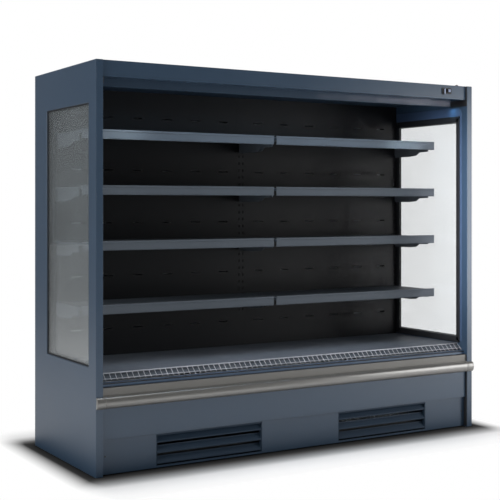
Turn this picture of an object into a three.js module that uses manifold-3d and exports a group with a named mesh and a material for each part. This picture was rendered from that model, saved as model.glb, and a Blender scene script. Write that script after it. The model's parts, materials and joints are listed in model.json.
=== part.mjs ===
// An open multideck display fridge: an insulated case with glazed end panels, a cold-air canopy,
// two bays of four tilting shelves, lift-out deck trays over a cooling tub, and a condensing
// unit behind louvres in the base.
// Millimetres. X runs along the case with 0 at its middle, Y from the shopper's side to the
// back, and +Z up from the floor.
import * as THREE from "three";
import { mergeVertices } from "three/addons/utils/BufferGeometryUtils.js";
import Module from "manifold-3d";

// ---- Driving dimensions ----
const FIT = 0.3; // gap left between pieces that touch
const SHEET = 2; // folded sheet steel
const CASE_WIDTH = 2500;
const CASE_DEPTH = 880; // end panels, from front edge to back edge
const CASE_HEIGHT = 2100;
const PANEL_THICK = 38; // insulated end panels
const ROOF_THICK = 30;
const REAR_THICK = 60;
const REAR_DROP = 40; // how far the rear panel hangs below the tub

// End windows
const WINDOW_FRONT = 96; // behind the front edge of the panel
const WINDOW_BACK = 190; // before its back edge
const WINDOW_SILL = 34; // above the deck
const WINDOW_HEAD = 212; // below the top
const GLASS_THICK = 24; // sealed double glazing
const GLASS_RECESS = 7; // behind the outer skin

// Canopy
const FASCIA_SETBACK = 14; // behind the front edges of the end panels
const FASCIA_HEIGHT = 83;
const FASCIA_TOP_DEPTH = 86;
const FASCIA_BOTTOM_DEPTH = 36;
const FASCIA_UPTURN = 12.7;
const VALANCE_SETBACK = 150;
const VALANCE_DROP = 118; // its lower edge below the top
const VALANCE_FACE = 42;
const VALANCE_LIP = 14;
const OUTLET_DEPTH = 18; // height of the honeycomb cells
const CELL_RADIUS = 20;
const CELL_PITCH = 84;
const CELL_ROWS = 2;
const LIGHT_WIDTH = 30;
const LIGHT_HEIGHT = 20;
const LIGHT_INSET = 62; // from the inner face of each end panel
const LIGHT_BEHIND = 8; // behind the valance sheet

// Controls on the fascia, placed from the right-hand end and from the top
const CONTROLLER_FROM_END = 179;
const CONTROLLER_FROM_TOP = 36.5;
const CONTROLLER_WIDTH = 46;
const CONTROLLER_HEIGHT = 35;
const CONTROLLER_DEPTH = 55;
const CONTROLLER_RIM = 2; // bezel overhang round the opening
const SWITCH_FROM_END = 220;
const SWITCH_FROM_TOP = 38.5;
const SWITCH_WIDTH = 20;
const SWITCH_HEIGHT = 37;
const SWITCH_WALL = 1.5;
const SWITCH_DEPTH = 18;
const ROCKER_TILT = 10; // degrees each way from level
const GLAND_FROM_END = 70;
const GLAND_SETBACK = 60;
const GLAND_RADIUS = 12;
const GLAND_HEIGHT = 11;

// Slotted uprights and rear duct
const DUCT_DEPTH = 130; // from the front of the duct panels to the rear panel
const UPRIGHT_SHEET = 2.5;
const END_UPRIGHT_WIDTH = 40;
const CENTRE_UPRIGHT_WIDTH = 60;
const SLOT_PITCH = 42.5;
const SLOT_WIDTH = 5;
const SLOT_HEIGHT = 16.4;
const SPARE_SLOTS_BELOW = 2;
const SPARE_SLOTS_ABOVE = 1;
const VENT_ROWS = 5;
const VENTS_PER_ROW = 6;
const VENT_WIDTH = 60;
const VENT_HEIGHT = 6;

// Shelves
const SHELF_COUNT = 4;
const SHELF_SETBACK = 296;
const SHELF_REAR_GAP = 8; // behind the tray, before the uprights
const SHELF_SEAM = 17; // between the trays of the two bays
const SHELF_END_GAP = 9; // from the tray to the end panel
const FIRST_SHELF_ABOVE_DECK = 326;
const TOP_SHELF_CLEAR = 211; // from the top shelf to the valance
const SHELF_UPSTAND = 8;
const SHELF_FRONT = 51; // height of the front edge
const SHELF_STRIP = 10; // its plain upper strip, above the ticket face
const TICKET_INSET = 1.5;
const SHELF_RETURN = 12;
const SHELF_SIDE_FOLD = 16;
const SHELF_SIDE_SHEET = 1.5;

// Shelf brackets
const BRACKET_THICK = 3;
const BRACKET_INSET = 2; // from the tray's side fold
const BRACKET_SETBACK = 54; // behind the shelf's front edge
const BRACKET_TOE = 60; // depth below the shelf's top at the front
const BRACKET_HEEL = 86; // and at the back
const HOOK_DROP = 30; // underside of the hook's neck below the shelf's top
const HOOK_NECK = 12;
const HOOK_REACH = 6.5; // behind the face of the upright's web
const HOOK_TONGUE = 6;
const HOOK_THROAT = 2;
const TAB_HEIGHT = 12;

// Tub, deck and front edge
const DECK_TOP = 510;
const DECK_SETBACK = 91;
const DECK_FLANGE = 25;
const TUB_BOTTOM = 300;
const TUB_WALL = 40;
const TUB_SETBACK = 30;
const TUB_FRONT_TOP = 467;
const TUB_REAR_TOP = 503;
const GRILLE_FOOT_SETBACK = 44; // the wire grille's lower edge, on the tub's lip
const GRILLE_WIRE = 3;
const GRILLE_PITCH = 32.3;
const GRILLE_MIDDLE = 0.36; // height of the middle long wire, as a share of the slope
const TRIM_SETBACK = 10;
const TRIM_TOP = 445;
const BUMPER_BOTTOM = 342;
const BUMPER_TOP = 402;
const BUMPER_PROUD = 20; // before the front edges of the end panels
const BUMPER_EDGE = 3; // flat behind the half-round nose
const BUMPER_CAP = 49; // length of each moulded end
const BUMPER_JOINT = 1.5; // groove between rail and end
const FRONT_PANEL_BOTTOM = 184;

// Kick panel and its louvres
const KICK_SETBACK = 28;
const KICK_BOTTOM = 5;
const KICK_RETURN = 16;
const LOUVRE_WIDTH = 645;
const LOUVRE_BOTTOM = 13;
const LOUVRE_TOP = 178;
const LOUVRE_FROM_END = 348;
const LOUVRE_RIM = 6;
const LOUVRE_BLADES = 3;
const BLADE_FOOT = 10; // from the opening's lower edge to the lowest blade
const BLADE_GAP = 17; // between one blade and the next
const BLADE_LEAN = 22;
const BLADE_LIP = 6; // upright edge of a blade, in front
const BLADE_CREST = 5; // and at its back

// Base frame
const FRAME_TUBE = 40;
const FRAME_LIFT = 30; // underside of the rails above the floor
const FRAME_SETBACK = 80;
const FOOT_RADIUS = 25;
const FOOT_PAD = 8;
const FOOT_STEM = 8;
const FOOT_FROM_END = 62; // from the inner face of the end panel
const MACHINE_PLATE = 4;

// Cooling system
const EVAP_HEIGHT = 135;
const EVAP_DEPTH = 180;
const EVAP_SETBACK = 480;
const EVAP_END_GAP = 160;
const EVAP_FIN_PITCH = 100;
const EVAP_FIN_THICK = 12;
const EVAP_SPINE = 30;
const COIL_TUBE = 6; // radius of the return bends
const FAN_PLATE_SETBACK = 330;
const EVAP_FAN_RADIUS = 63;
const EVAP_FAN_FROM_MIDDLE = 550;
const COND_WIDTH = 560;
const COND_HEIGHT = 200;
const COND_DEPTH = 50;
const COND_SETBACK = 130;
const COND_FIN_PITCH = 28;
const COND_FIN_THICK = 4;
const COND_SPINE = 8;
const SHROUD_DEPTH = 60;
const COND_FAN_RADIUS = 85;
const FAN_RUNNING_GAP = 4;
const FAN_BLADES = 5;
const FAN_DEPTH = 20;
const FAN_PITCH = 28; // blade angle, degrees
const BLADE_SPACE = 0.2; // radians, half the opening between blades seen along the axis
const MOTOR_RADIUS = 26;
const MOTOR_LENGTH = 44;
const SHAFT_RADIUS = 4;
const SPIDER_BAR = 8;
const COMPRESSOR_RADIUS = 90;
const COMPRESSOR_HEIGHT = 180;
const COMPRESSOR_X = 130;
const COMPRESSOR_SETBACK = 480;

// ---- Places that follow from them ----
const HALF = CASE_WIDTH / 2;
const INNER = HALF - PANEL_THICK; // inner face of the end panels
const FILL = INNER - FIT; // what spans between the end panels
const FRONT = -(CASE_DEPTH + BUMPER_PROUD) / 2 + BUMPER_PROUD;
const BACK = FRONT + CASE_DEPTH;
const REAR_FACE = BACK - REAR_THICK; // inner face of the rear panel
const DUCT_FACE = REAR_FACE - DUCT_DEPTH; // front of the duct panels and uprights
const ROOF_UNDER = CASE_HEIGHT - ROOF_THICK;
const VALANCE_BOTTOM = CASE_HEIGHT - VALANCE_DROP;
const CEILING_TOP = VALANCE_BOTTOM + VALANCE_FACE;
const FASCIA_BOTTOM = CASE_HEIGHT - FASCIA_HEIGHT;
const FIRST_SHELF = DECK_TOP + FIRST_SHELF_ABOVE_DECK;
const TUB_FLOOR = TUB_BOTTOM + TUB_WALL;
const DECK_UNDER = DECK_TOP - SHEET;
const FRAME_TOP = FRAME_LIFT + FRAME_TUBE;
const SHELF_DEPTH = DUCT_FACE - SHELF_REAR_GAP - (FRONT + SHELF_SETBACK);
const SHELF_INNER_X = SHELF_SEAM / 2;
const SHELF_OUTER_X = INNER - SHELF_END_GAP;
const BRACKET_SIDE = SHELF_SIDE_SHEET + BRACKET_INSET + BRACKET_THICK / 2;
const INNER_SLOT_X = SHELF_INNER_X + BRACKET_SIDE;
const OUTER_SLOT_X = SHELF_OUTER_X - BRACKET_SIDE;
const LOUVRE_X = HALF - LOUVRE_FROM_END - LOUVRE_WIDTH / 2;

// Each shelf hangs on the uprights' slots, shared out as evenly as the slots allow.
function shelfTops() {
  const room = VALANCE_BOTTOM - TOP_SHELF_CLEAR - FIRST_SHELF;
  const steps = Math.floor(room / SLOT_PITCH);
  const level = (k) => FIRST_SHELF + SLOT_PITCH * Math.ceil((steps * k) / (SHELF_COUNT - 1));
  return Array.from({ length: SHELF_COUNT }, (_, k) => level(k));
}

// ---- Solids ----
const wasm = await Module();
wasm.setup();
const AXIS_X = new THREE.Vector3(1, 0, 0);
const AXIS_Y = new THREE.Vector3(0, 1, 0);
const AXIS_Z = new THREE.Vector3(0, 0, 1);

// Position-only geometry with shared corners, no flat triangles and its faces pointing out.
function tidy(source) {
  const bare = new THREE.BufferGeometry();
  bare.setAttribute("position", source.getAttribute("position").clone());
  if (source.index) bare.setIndex(source.index.clone());
  const merged = mergeVertices(bare, 1e-4);
  const p = merged.getAttribute("position");
  const index = merged.index.array;
  const kept = [];
  const [a, b, c] = [new THREE.Vector3(), new THREE.Vector3(), new THREE.Vector3()];
  let volume = 0;
  for (let i = 0; i < index.length; i += 3) {
    const [u, v, w] = [index[i], index[i + 1], index[i + 2]];
    if (u === v || v === w || w === u) continue;
    kept.push(u, v, w);
    a.fromBufferAttribute(p, u);
    b.fromBufferAttribute(p, v);
    c.fromBufferAttribute(p, w);
    volume += a.dot(b.cross(c));
  }
  if (volume < 0) kept.reverse();
  merged.setIndex(kept);
  return merged;
}

function toSolid(geometry) {
  const clean = tidy(geometry);
  const vertProperties = new Float32Array(clean.getAttribute("position").array);
  const triVerts = new Uint32Array(clean.index.array);
  return new wasm.Manifold(new wasm.Mesh({ numProp: 3, vertProperties, triVerts }));
}

function toGeometry(solid) {
  const mesh = solid.getMesh();
  const geometry = new THREE.BufferGeometry();
  geometry.setAttribute("position", new THREE.BufferAttribute(mesh.vertProperties, 3));
  geometry.setIndex(Array.from(mesh.triVerts));
  return geometry;
}

function join(first, ...rest) {
  return toGeometry(rest.reduce((sum, g) => sum.add(toSolid(g)), toSolid(first)));
}

function cut(body, ...tools) {
  return toGeometry(tools.reduce((left, g) => left.subtract(toSolid(g)), toSolid(body)));
}

function box(x0, x1, y0, y1, z0, z1) {
  const geometry = new THREE.BoxGeometry(x1 - x0, y1 - y0, z1 - z0);
  return geometry.translate((x0 + x1) / 2, (y0 + y1) / 2, (z0 + z1) / 2);
}

function shapeOf(points) {
  return new THREE.Shape(points.map(([u, v]) => new THREE.Vector2(u, v)));
}

function extrude(shape, depth, curveSegments = 6) {
  return new THREE.ExtrudeGeometry(shape, { depth, bevelEnabled: false, curveSegments });
}

// A (y, z) outline drawn out along X.
function prismX(shape, x0, x1, curveSegments) {
  const turn = new THREE.Matrix4().makeBasis(AXIS_Y, AXIS_Z, AXIS_X);
  return extrude(shape, x1 - x0, curveSegments).applyMatrix4(turn).translate(x0, 0, 0);
}

// An (x, z) outline drawn out along Y.
function prismY(shape, y0, y1, curveSegments) {
  const turn = new THREE.Matrix4().makeBasis(AXIS_X, AXIS_Z, AXIS_Y.clone().negate());
  return extrude(shape, y1 - y0, curveSegments).applyMatrix4(turn).translate(0, y1, 0);
}

// An (x, y) outline drawn out along Z.
function prismZ(shape, z0, z1, curveSegments) {
  return extrude(shape, z1 - z0, curveSegments).translate(0, 0, z0);
}

// A (radius, height) outline turned about Z.
function turned(points, segments = 16) {
  const profile = points.map(([r, h]) => new THREE.Vector2(r, h));
  return new THREE.LatheGeometry(profile, segments).rotateX(Math.PI / 2);
}

function cylinder(radius, z0, z1, segments = 16) {
  return turned([[0, z0], [radius, z0], [radius, z1], [0, z1]], segments);
}

function rectanglePoints(u0, u1, v0, v1) {
  return [[u0, v0], [u1, v0], [u1, v1], [u0, v1]];
}

// A (x, y), (x, z) or (y, z) plate, drawn out by `prism`, with outlines cut through it.
function plate(prism, outline, holes, w0, w1) {
  const tools = holes.map((points) => prism(shapeOf(points), w0 - 1, w1 + 1));
  return cut(prism(shapeOf(outline), w0, w1), ...tools);
}

function circlePoints(u, v, radius, sides, turn = 0) {
  const angle = (i) => turn + (i * 2 * Math.PI) / sides;
  return Array.from({ length: sides }, (_, i) => [
    u + radius * Math.cos(angle(i)),
    v + radius * Math.sin(angle(i)),
  ]);
}

function evenly(count, from, to) {
  return Array.from({ length: count }, (_, i) => from + ((to - from) * (i + 0.5)) / count);
}

// ---- Finishes ----
function finish(color, roughness, metalness, extra = {}) {
  return new THREE.MeshStandardMaterial({ color, roughness, metalness, ...extra });
}

const PAINT = finish(0x46586b, 0.45, 0.1);
const DARK_PAINT = finish(0x2f3439, 0.5, 0.15);
const SHELF_PAINT = finish(0x4b4f54, 0.45, 0.2);
const WARM_METAL = finish(0x85827d, 0.4, 0.7);
const STEEL = finish(0xa9adb0, 0.4, 0.9);
const BLACK_PLASTIC = finish(0x17181a, 0.5, 0);
const FOAM_SKIN = finish(0x9aa0a5, 0.5, 0.3);
const GLASS = finish(0xcfe0e4, 0.05, 0, { transparent: true, opacity: 0.3 });
const LAMP = finish(0xf2f7ff, 0.3, 0, { emissive: 0xcfe2ff });
const COPPER = finish(0xb06a42, 0.35, 0.9);
const BLACK_STEEL = finish(0x1b1c1e, 0.45, 0.4);

const fridge = new THREE.Group();

function place(name, geometry, material) {
  const flat = geometry.index ? geometry.toNonIndexed() : geometry;
  flat.computeVertexNormals();
  const mesh = new THREE.Mesh(flat, material);
  mesh.name = name;
  fridge.add(mesh);
  return mesh;
}

// ---- Insulated case ----
function endPanel(side) {
  const outline = rectanglePoints(FRONT, BACK, 0, CASE_HEIGHT);
  const panel = plate(prismX, outline, [windowOutline(0)], INNER, HALF);
  return side < 0 ? panel.translate(-INNER - HALF, 0, 0) : panel;
}

function windowOutline(inset) {
  return rectanglePoints(
    FRONT + WINDOW_FRONT + inset,
    BACK - WINDOW_BACK - inset,
    DECK_TOP + WINDOW_SILL + inset,
    CASE_HEIGHT - WINDOW_HEAD - inset,
  );
}

function windowGlass(side) {
  const outer = HALF - GLASS_RECESS;
  const pane = prismX(shapeOf(windowOutline(FIT)), outer - GLASS_THICK, outer);
  return side < 0 ? pane.translate(GLASS_THICK - 2 * outer, 0, 0) : pane;
}

function rearPanel() {
  return box(-FILL, FILL, REAR_FACE, BACK, TUB_BOTTOM - REAR_DROP, ROOF_UNDER - FIT);
}

function roofPanel() {
  const front = FRONT + FASCIA_SETBACK + FASCIA_TOP_DEPTH + FIT;
  return box(-FILL, FILL, front, BACK, ROOF_UNDER, CASE_HEIGHT);
}

// ---- Canopy ----
function canopyFascia() {
  const y = FRONT + FASCIA_SETBACK;
  const inner = y + SHEET;
  const lipBack = y + FASCIA_BOTTOM_DEPTH;
  const topBack = y + FASCIA_TOP_DEPTH;
  const floor = FASCIA_BOTTOM + SHEET;
  const channel = prismX(
    shapeOf([
      [y, FASCIA_BOTTOM],
      [lipBack, FASCIA_BOTTOM],
      [lipBack, FASCIA_BOTTOM + FASCIA_UPTURN],
      [lipBack - SHEET, FASCIA_BOTTOM + FASCIA_UPTURN],
      [lipBack - SHEET, floor],
      [inner, floor],
      [inner, CASE_HEIGHT - SHEET],
      [topBack, CASE_HEIGHT - SHEET],
      [topBack, CASE_HEIGHT],
      [y, CASE_HEIGHT],
    ]),
    -FILL,
    FILL,
  );
  const withSleeve = join(channel, switchBlock(SWITCH_WIDTH, SWITCH_HEIGHT, -SWITCH_WALL));
  const width = CONTROLLER_WIDTH - 2 * CONTROLLER_RIM + 2 * FIT;
  const height = CONTROLLER_HEIGHT - 2 * CONTROLLER_RIM + 2 * FIT;
  const x = HALF - CONTROLLER_FROM_END;
  const z = CASE_HEIGHT - CONTROLLER_FROM_TOP;
  const opening = box(x - width / 2, x + width / 2, y - 1, inner + 1, z - height / 2, z + height / 2);
  const bore = 2 * SWITCH_WALL;
  const well = switchBlock(SWITCH_WIDTH - bore, SWITCH_HEIGHT - bore, -2 * SWITCH_WALL - 1);
  return cut(withSleeve, opening, well);
}

// A block round the light switch, from `start` relative to the fascia's face back to its floor.
function switchBlock(width, height, start) {
  const x = HALF - SWITCH_FROM_END;
  const z = CASE_HEIGHT - SWITCH_FROM_TOP;
  const y = FRONT + FASCIA_SETBACK;
  const wall = start < -SWITCH_WALL ? SWITCH_WALL : 0;
  return box(x - width / 2, x + width / 2, y + start, y + SWITCH_DEPTH - wall,
    z - height / 2, z + height / 2);
}

function temperatureController() {
  const x = HALF - CONTROLLER_FROM_END;
  const z = CASE_HEIGHT - CONTROLLER_FROM_TOP;
  const face = FRONT + FASCIA_SETBACK - FIT;
  const [w, h] = [CONTROLLER_WIDTH / 2, CONTROLLER_HEIGHT / 2];
  const rim = CONTROLLER_RIM;
  const bezel = box(x - w, x + w, face - 3, face, z - h, z + h);
  const screen = box(x - w + 5, x + w - 5, face - 4, face - 1, z - h + 6, z + h - 6);
  const housing = box(x - w + rim, x + w - rim, face - 1, face + CONTROLLER_DEPTH,
    z - h + rim, z + h - rim);
  return join(cut(bezel, screen), housing);
}

// The rocker's ends lie on an arc about its pivot, so it clears its sleeve at every angle.
function lightSwitchRocker() {
  const reach = SWITCH_HEIGHT / 2 - SWITCH_WALL - 2 * FIT;
  const half = SWITCH_WIDTH / 2 - SWITCH_WALL - FIT;
  const valley = -SWITCH_WALL - 2.5;
  const crestAngle = THREE.MathUtils.degToRad(66);
  const crest = [-reach * Math.cos(crestAngle), reach * Math.sin(crestAngle)];
  const outline = shapeOf([
    [valley, 0], crest, [0, reach], [5, 8], [5, -8], [0, -reach], [crest[0], -crest[1]],
  ]);
  const rocker = prismX(outline, -half, half).rotateX(-THREE.MathUtils.degToRad(ROCKER_TILT));
  return rocker.translate(
    HALF - SWITCH_FROM_END,
    FRONT + FASCIA_SETBACK - valley - SWITCH_WALL,
    CASE_HEIGHT - SWITCH_FROM_TOP,
  );
}

function roofGland() {
  const nut = prismZ(shapeOf(circlePoints(0, 0, GLAND_RADIUS, 6)), FIT, GLAND_HEIGHT * 0.55);
  const dome = turned([
    [0, 1], [GLAND_RADIUS * 0.75, 1], [GLAND_RADIUS * 0.75, GLAND_HEIGHT * 0.75],
    [GLAND_RADIUS * 0.45, GLAND_HEIGHT], [0, GLAND_HEIGHT],
  ], 12);
  const gland = join(nut, dome);
  return gland.translate(HALF - GLAND_FROM_END, FRONT + GLAND_SETBACK, CASE_HEIGHT);
}

function canopyValance() {
  const y = FRONT + VALANCE_SETBACK;
  const top = CEILING_TOP;
  return prismX(
    shapeOf([
      [y, VALANCE_BOTTOM],
      [y + VALANCE_LIP, VALANCE_BOTTOM],
      [y + VALANCE_LIP, VALANCE_BOTTOM + SHEET],
      [y + SHEET, VALANCE_BOTTOM + SHEET],
      [y + SHEET, top - SHEET],
      [DUCT_FACE - FIT, top - SHEET],
      [DUCT_FACE - FIT, top],
      [y, top],
    ]),
    -FILL,
    FILL,
  );
}

function airHoneycomb() {
  const y0 = FRONT + FASCIA_SETBACK + FASCIA_BOTTOM_DEPTH - SHEET;
  const y1 = FRONT + VALANCE_SETBACK - FIT;
  const bottom = FASCIA_BOTTOM + FASCIA_UPTURN + FIT;
  const count = Math.floor((2 * FILL) / CELL_PITCH) - 1;
  const cells = [];
  evenly(CELL_ROWS, y0, y1).forEach((y, row) => {
    const shift = (row % 2 ? CELL_PITCH : -CELL_PITCH) / 4;
    const first = (-(count - 1) * CELL_PITCH) / 2 + shift;
    for (let i = 0; i < count; i++) {
      cells.push(circlePoints(first + i * CELL_PITCH, y, CELL_RADIUS, 6));
    }
  });
  const outline = rectanglePoints(-FILL, FILL, y0, y1);
  return plate(prismZ, outline, cells, bottom, bottom + OUTLET_DEPTH);
}

function canopyLight() {
  const y = FRONT + VALANCE_SETBACK + SHEET + LIGHT_BEHIND + LIGHT_WIDTH / 2;
  const top = CEILING_TOP - SHEET - FIT;
  const radius = LIGHT_WIDTH / 2;
  const lamp = new THREE.Shape();
  lamp.moveTo(y - radius, top);
  lamp.lineTo(y - radius, top - LIGHT_HEIGHT + radius);
  lamp.absarc(y, top - LIGHT_HEIGHT + radius, radius, Math.PI, 2 * Math.PI, false);
  lamp.lineTo(y + radius, top);
  return prismX(lamp, -INNER + LIGHT_INSET, INNER - LIGHT_INSET, 8);
}

// ---- Rear duct and uprights ----
const slotTop = (shelfTop) => shelfTop - HOOK_DROP + SLOT_HEIGHT - FIT;

function slotHeights() {
  const tops = shelfTops();
  const steps = Math.round((tops[SHELF_COUNT - 1] - tops[0]) / SLOT_PITCH);
  const count = SPARE_SLOTS_BELOW + steps + 1 + SPARE_SLOTS_ABOVE;
  const lowest = slotTop(tops[0]) - SPARE_SLOTS_BELOW * SLOT_PITCH;
  return Array.from({ length: count }, (_, i) => lowest + i * SLOT_PITCH);
}

function upright(x0, x1, slotColumns) {
  const bottom = TUB_REAR_TOP + FIT;
  const top = ROOF_UNDER - FIT;
  const half = SLOT_WIDTH / 2;
  const slot = (x, z) => rectanglePoints(x - half, x + half, z - SLOT_HEIGHT, z);
  const slots = slotColumns.flatMap((x) => slotHeights().map((z) => slot(x, z)));
  const outline = rectanglePoints(x0, x1, bottom, top);
  const web = plate(prismY, outline, slots, DUCT_FACE, DUCT_FACE + UPRIGHT_SHEET);
  const flange = (x) => box(x, x + UPRIGHT_SHEET, DUCT_FACE + 1, REAR_FACE - FIT, bottom, top);
  return join(web, flange(x0), flange(x1 - UPRIGHT_SHEET));
}

function ductPanel(side) {
  const x0 = CENTRE_UPRIGHT_WIDTH / 2 + FIT;
  const x1 = FILL - END_UPRIGHT_WIDTH - FIT;
  const z0 = DECK_UNDER - DECK_FLANGE;
  const z1 = CEILING_TOP - SHEET - FIT;
  const vents = [];
  for (const z of evenly(VENT_ROWS, DECK_TOP, z1)) {
    for (const x of evenly(VENTS_PER_ROW, x0, x1)) {
      const [w, h] = [VENT_WIDTH / 2, VENT_HEIGHT / 2];
      vents.push(rectanglePoints(x - w, x + w, z - h, z + h));
    }
  }
  const outline = rectanglePoints(x0, x1, z0, z1);
  const panel = plate(prismY, outline, vents, DUCT_FACE, DUCT_FACE + SHEET);
  return side < 0 ? panel.translate(-x0 - x1, 0, 0) : panel;
}

// ---- Shelves ----
function shelfTray(side, top) {
  const y = FRONT + SHELF_SETBACK;
  const face = y + TICKET_INSET;
  const deck = top - SHELF_UPSTAND;
  const foot = top - SHELF_FRONT;
  const back = y + SHELF_DEPTH;
  const x0 = side < 0 ? -SHELF_OUTER_X : SHELF_INNER_X;
  const x1 = side < 0 ? -SHELF_INNER_X : SHELF_OUTER_X;
  const sheet = prismX(
    shapeOf([
      [back, deck],
      [face + SHEET + 1, deck],
      [face + SHEET + 1, top],
      [y, top],
      [y, top - SHELF_STRIP],
      [face, top - SHELF_STRIP - TICKET_INSET],
      [face, foot + 2 * TICKET_INSET],
      [y, foot + TICKET_INSET],
      [y, foot],
      [y + SHELF_RETURN, foot],
      [y + SHELF_RETURN, foot + SHEET],
      [face + SHEET, foot + SHEET],
      [face + SHEET, deck - SHEET],
      [back, deck - SHEET],
    ]),
    x0,
    x1,
  );
  const fold = (x) => box(x, x + SHELF_SIDE_SHEET, face + 1, back,
    deck - SHELF_SIDE_FOLD, deck - SHEET / 2);
  return join(sheet, fold(x0), fold(x1 - SHELF_SIDE_SHEET));
}

// The bracket hooks into one slot of its upright and steadies itself with a tab in the next.
function shelfBracket(slotX, top) {
  const toe = FRONT + SHELF_SETBACK + BRACKET_SETBACK;
  const web = DUCT_FACE - FIT;
  const upper = top - SHELF_UPSTAND - SHEET - FIT;
  const neck = top - HOOK_DROP;
  const tab = neck - SLOT_PITCH;
  const relief = web - 6;
  const tip = DUCT_FACE + UPRIGHT_SHEET + HOOK_REACH;
  const throat = DUCT_FACE + UPRIGHT_SHEET + HOOK_THROAT;
  const depth = web - toe;
  return prismX(
    shapeOf([
      [toe, upper],
      [toe, top - BRACKET_TOE],
      [toe + depth * 0.25, top - BRACKET_TOE - 2],
      [toe + depth * 0.35, top - BRACKET_HEEL + 5],
      [toe + depth * 0.55, top - BRACKET_HEEL],
      [web - 6, top - BRACKET_HEEL],
      [web, tab - 1],
      [web, tab],
      [DUCT_FACE + UPRIGHT_SHEET + 3, tab],
      [DUCT_FACE + UPRIGHT_SHEET + 3, tab + TAB_HEIGHT - 3],
      [DUCT_FACE + UPRIGHT_SHEET, tab + TAB_HEIGHT],
      [web, tab + TAB_HEIGHT],
      [web, neck],
      [throat, neck],
      [throat, neck - HOOK_TONGUE],
      [tip, neck - HOOK_TONGUE],
      [tip, neck + HOOK_NECK - 3],
      [tip - 3, neck + HOOK_NECK],
      [relief, neck + HOOK_NECK],
      [relief, upper],
    ]),
    slotX - BRACKET_THICK / 2,
    slotX + BRACKET_THICK / 2,
  );
}

// ---- Tub, deck and front edge ----
function insulatedTub() {
  const y0 = FRONT + TUB_SETBACK;
  const y1 = REAR_FACE - FIT;
  return prismX(
    shapeOf([
      [y0, TUB_BOTTOM],
      [y1, TUB_BOTTOM],
      [y1, TUB_REAR_TOP],
      [y1 - TUB_WALL, TUB_REAR_TOP],
      [y1 - TUB_WALL, TUB_FLOOR],
      [y0 + TUB_WALL, TUB_FLOOR],
      [y0 + TUB_WALL, TUB_FRONT_TOP],
      [y0, TUB_FRONT_TOP],
    ]),
    -FILL,
    FILL,
  );
}

function deckTray(side) {
  const y = FRONT + DECK_SETBACK;
  const back = DUCT_FACE - 1;
  const outline = shapeOf([
    [y, DECK_TOP - DECK_FLANGE],
    [y + SHEET, DECK_TOP - DECK_FLANGE],
    [y + SHEET, DECK_UNDER],
    [back, DECK_UNDER],
    [back, DECK_TOP],
    [y, DECK_TOP],
  ]);
  const [x0, x1] = [2 * FIT, FILL - FIT];
  return side < 0 ? prismX(outline, -x1, -x0) : prismX(outline, x0, x1);
}

// Welded wires in one slanting plane, from the tub's lip up to the front of the deck.
function returnAirGrille() {
  const foot = new THREE.Vector2(FRONT + GRILLE_FOOT_SETBACK, TUB_FRONT_TOP + FIT);
  const head = new THREE.Vector2(FRONT + DECK_SETBACK - FIT, DECK_TOP - 1);
  const slope = head.clone().sub(foot);
  const angle = slope.angle();
  const thick = GRILLE_WIRE;
  const span = slope.length() - thick * Math.tan(angle);
  const half = FILL - 2;
  const count = Math.round((2 * half) / GRILLE_PITCH);
  const pitch = (2 * half - thick) / count;
  const middle = span * GRILLE_MIDDLE;
  const rows = [[thick, middle - thick / 2], [middle + thick / 2, span - thick]];
  const gaps = [];
  for (let i = 0; i < count; i++) {
    const x = -half + thick + i * pitch;
    for (const [v0, v1] of rows) {
      gaps.push(rectanglePoints(x, x + pitch - thick, v0, v1));
    }
  }
  const mesh = plate(prismZ, rectanglePoints(-half, half, 0, span), gaps, -thick, 0);
  const lift = thick * Math.cos(angle);
  return mesh.rotateX(angle).translate(0, foot.x, foot.y + lift);
}

function frontTrim() {
  const y = FRONT;
  const face = FRONT + TRIM_SETBACK;
  const lip = FRONT + TUB_SETBACK - FIT;
  const bottom = BUMPER_BOTTOM + FIT;
  return prismX(
    shapeOf([
      [y, bottom],
      [y + SHEET, bottom],
      [y + SHEET, BUMPER_TOP - 1],
      [face + SHEET, BUMPER_TOP - 1],
      [face + SHEET, TRIM_TOP - SHEET],
      [lip, TRIM_TOP - SHEET],
      [lip, TRIM_TOP],
      [face, TRIM_TOP],
      [face, BUMPER_TOP + 1],
      [y, BUMPER_TOP + 1],
    ]),
    -FILL,
    FILL,
  );
}

function bumperRail() {
  const back = FRONT - FIT;
  const edge = back - BUMPER_EDGE;
  const depth = edge - (FRONT - BUMPER_PROUD);
  const [middle, half] = [(BUMPER_TOP + BUMPER_BOTTOM) / 2, (BUMPER_TOP - BUMPER_BOTTOM) / 2];
  const rail = new THREE.Shape();
  rail.moveTo(back, BUMPER_BOTTOM);
  rail.lineTo(back, BUMPER_TOP);
  rail.lineTo(edge, BUMPER_TOP);
  rail.absellipse(edge, middle, depth, half, Math.PI / 2, 1.5 * Math.PI, false, 0);
  const bar = prismX(rail, -HALF, HALF, 8);
  const g = BUMPER_JOINT;
  const joint = (x) => box(x, x + g, FRONT - BUMPER_PROUD - 1, FRONT - BUMPER_PROUD + g,
    BUMPER_BOTTOM - 1, BUMPER_TOP + 1);
  return cut(bar, joint(-HALF + BUMPER_CAP), joint(HALF - BUMPER_CAP - g));
}

function frontPanel() {
  const y = FRONT + FASCIA_SETBACK;
  const [z0, z1] = [FRONT_PANEL_BOTTOM + FIT, BUMPER_BOTTOM - FIT];
  const under = FRONT + KICK_SETBACK + KICK_RETURN;
  const shelf = FRONT + TUB_SETBACK - FIT;
  return prismX(
    shapeOf([
      [y, z0],
      [under, z0],
      [under, z0 + SHEET],
      [y + SHEET, z0 + SHEET],
      [y + SHEET, z1 - SHEET],
      [shelf, z1 - SHEET],
      [shelf, z1],
      [y, z1],
    ]),
    -FILL,
    FILL,
  );
}

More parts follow.
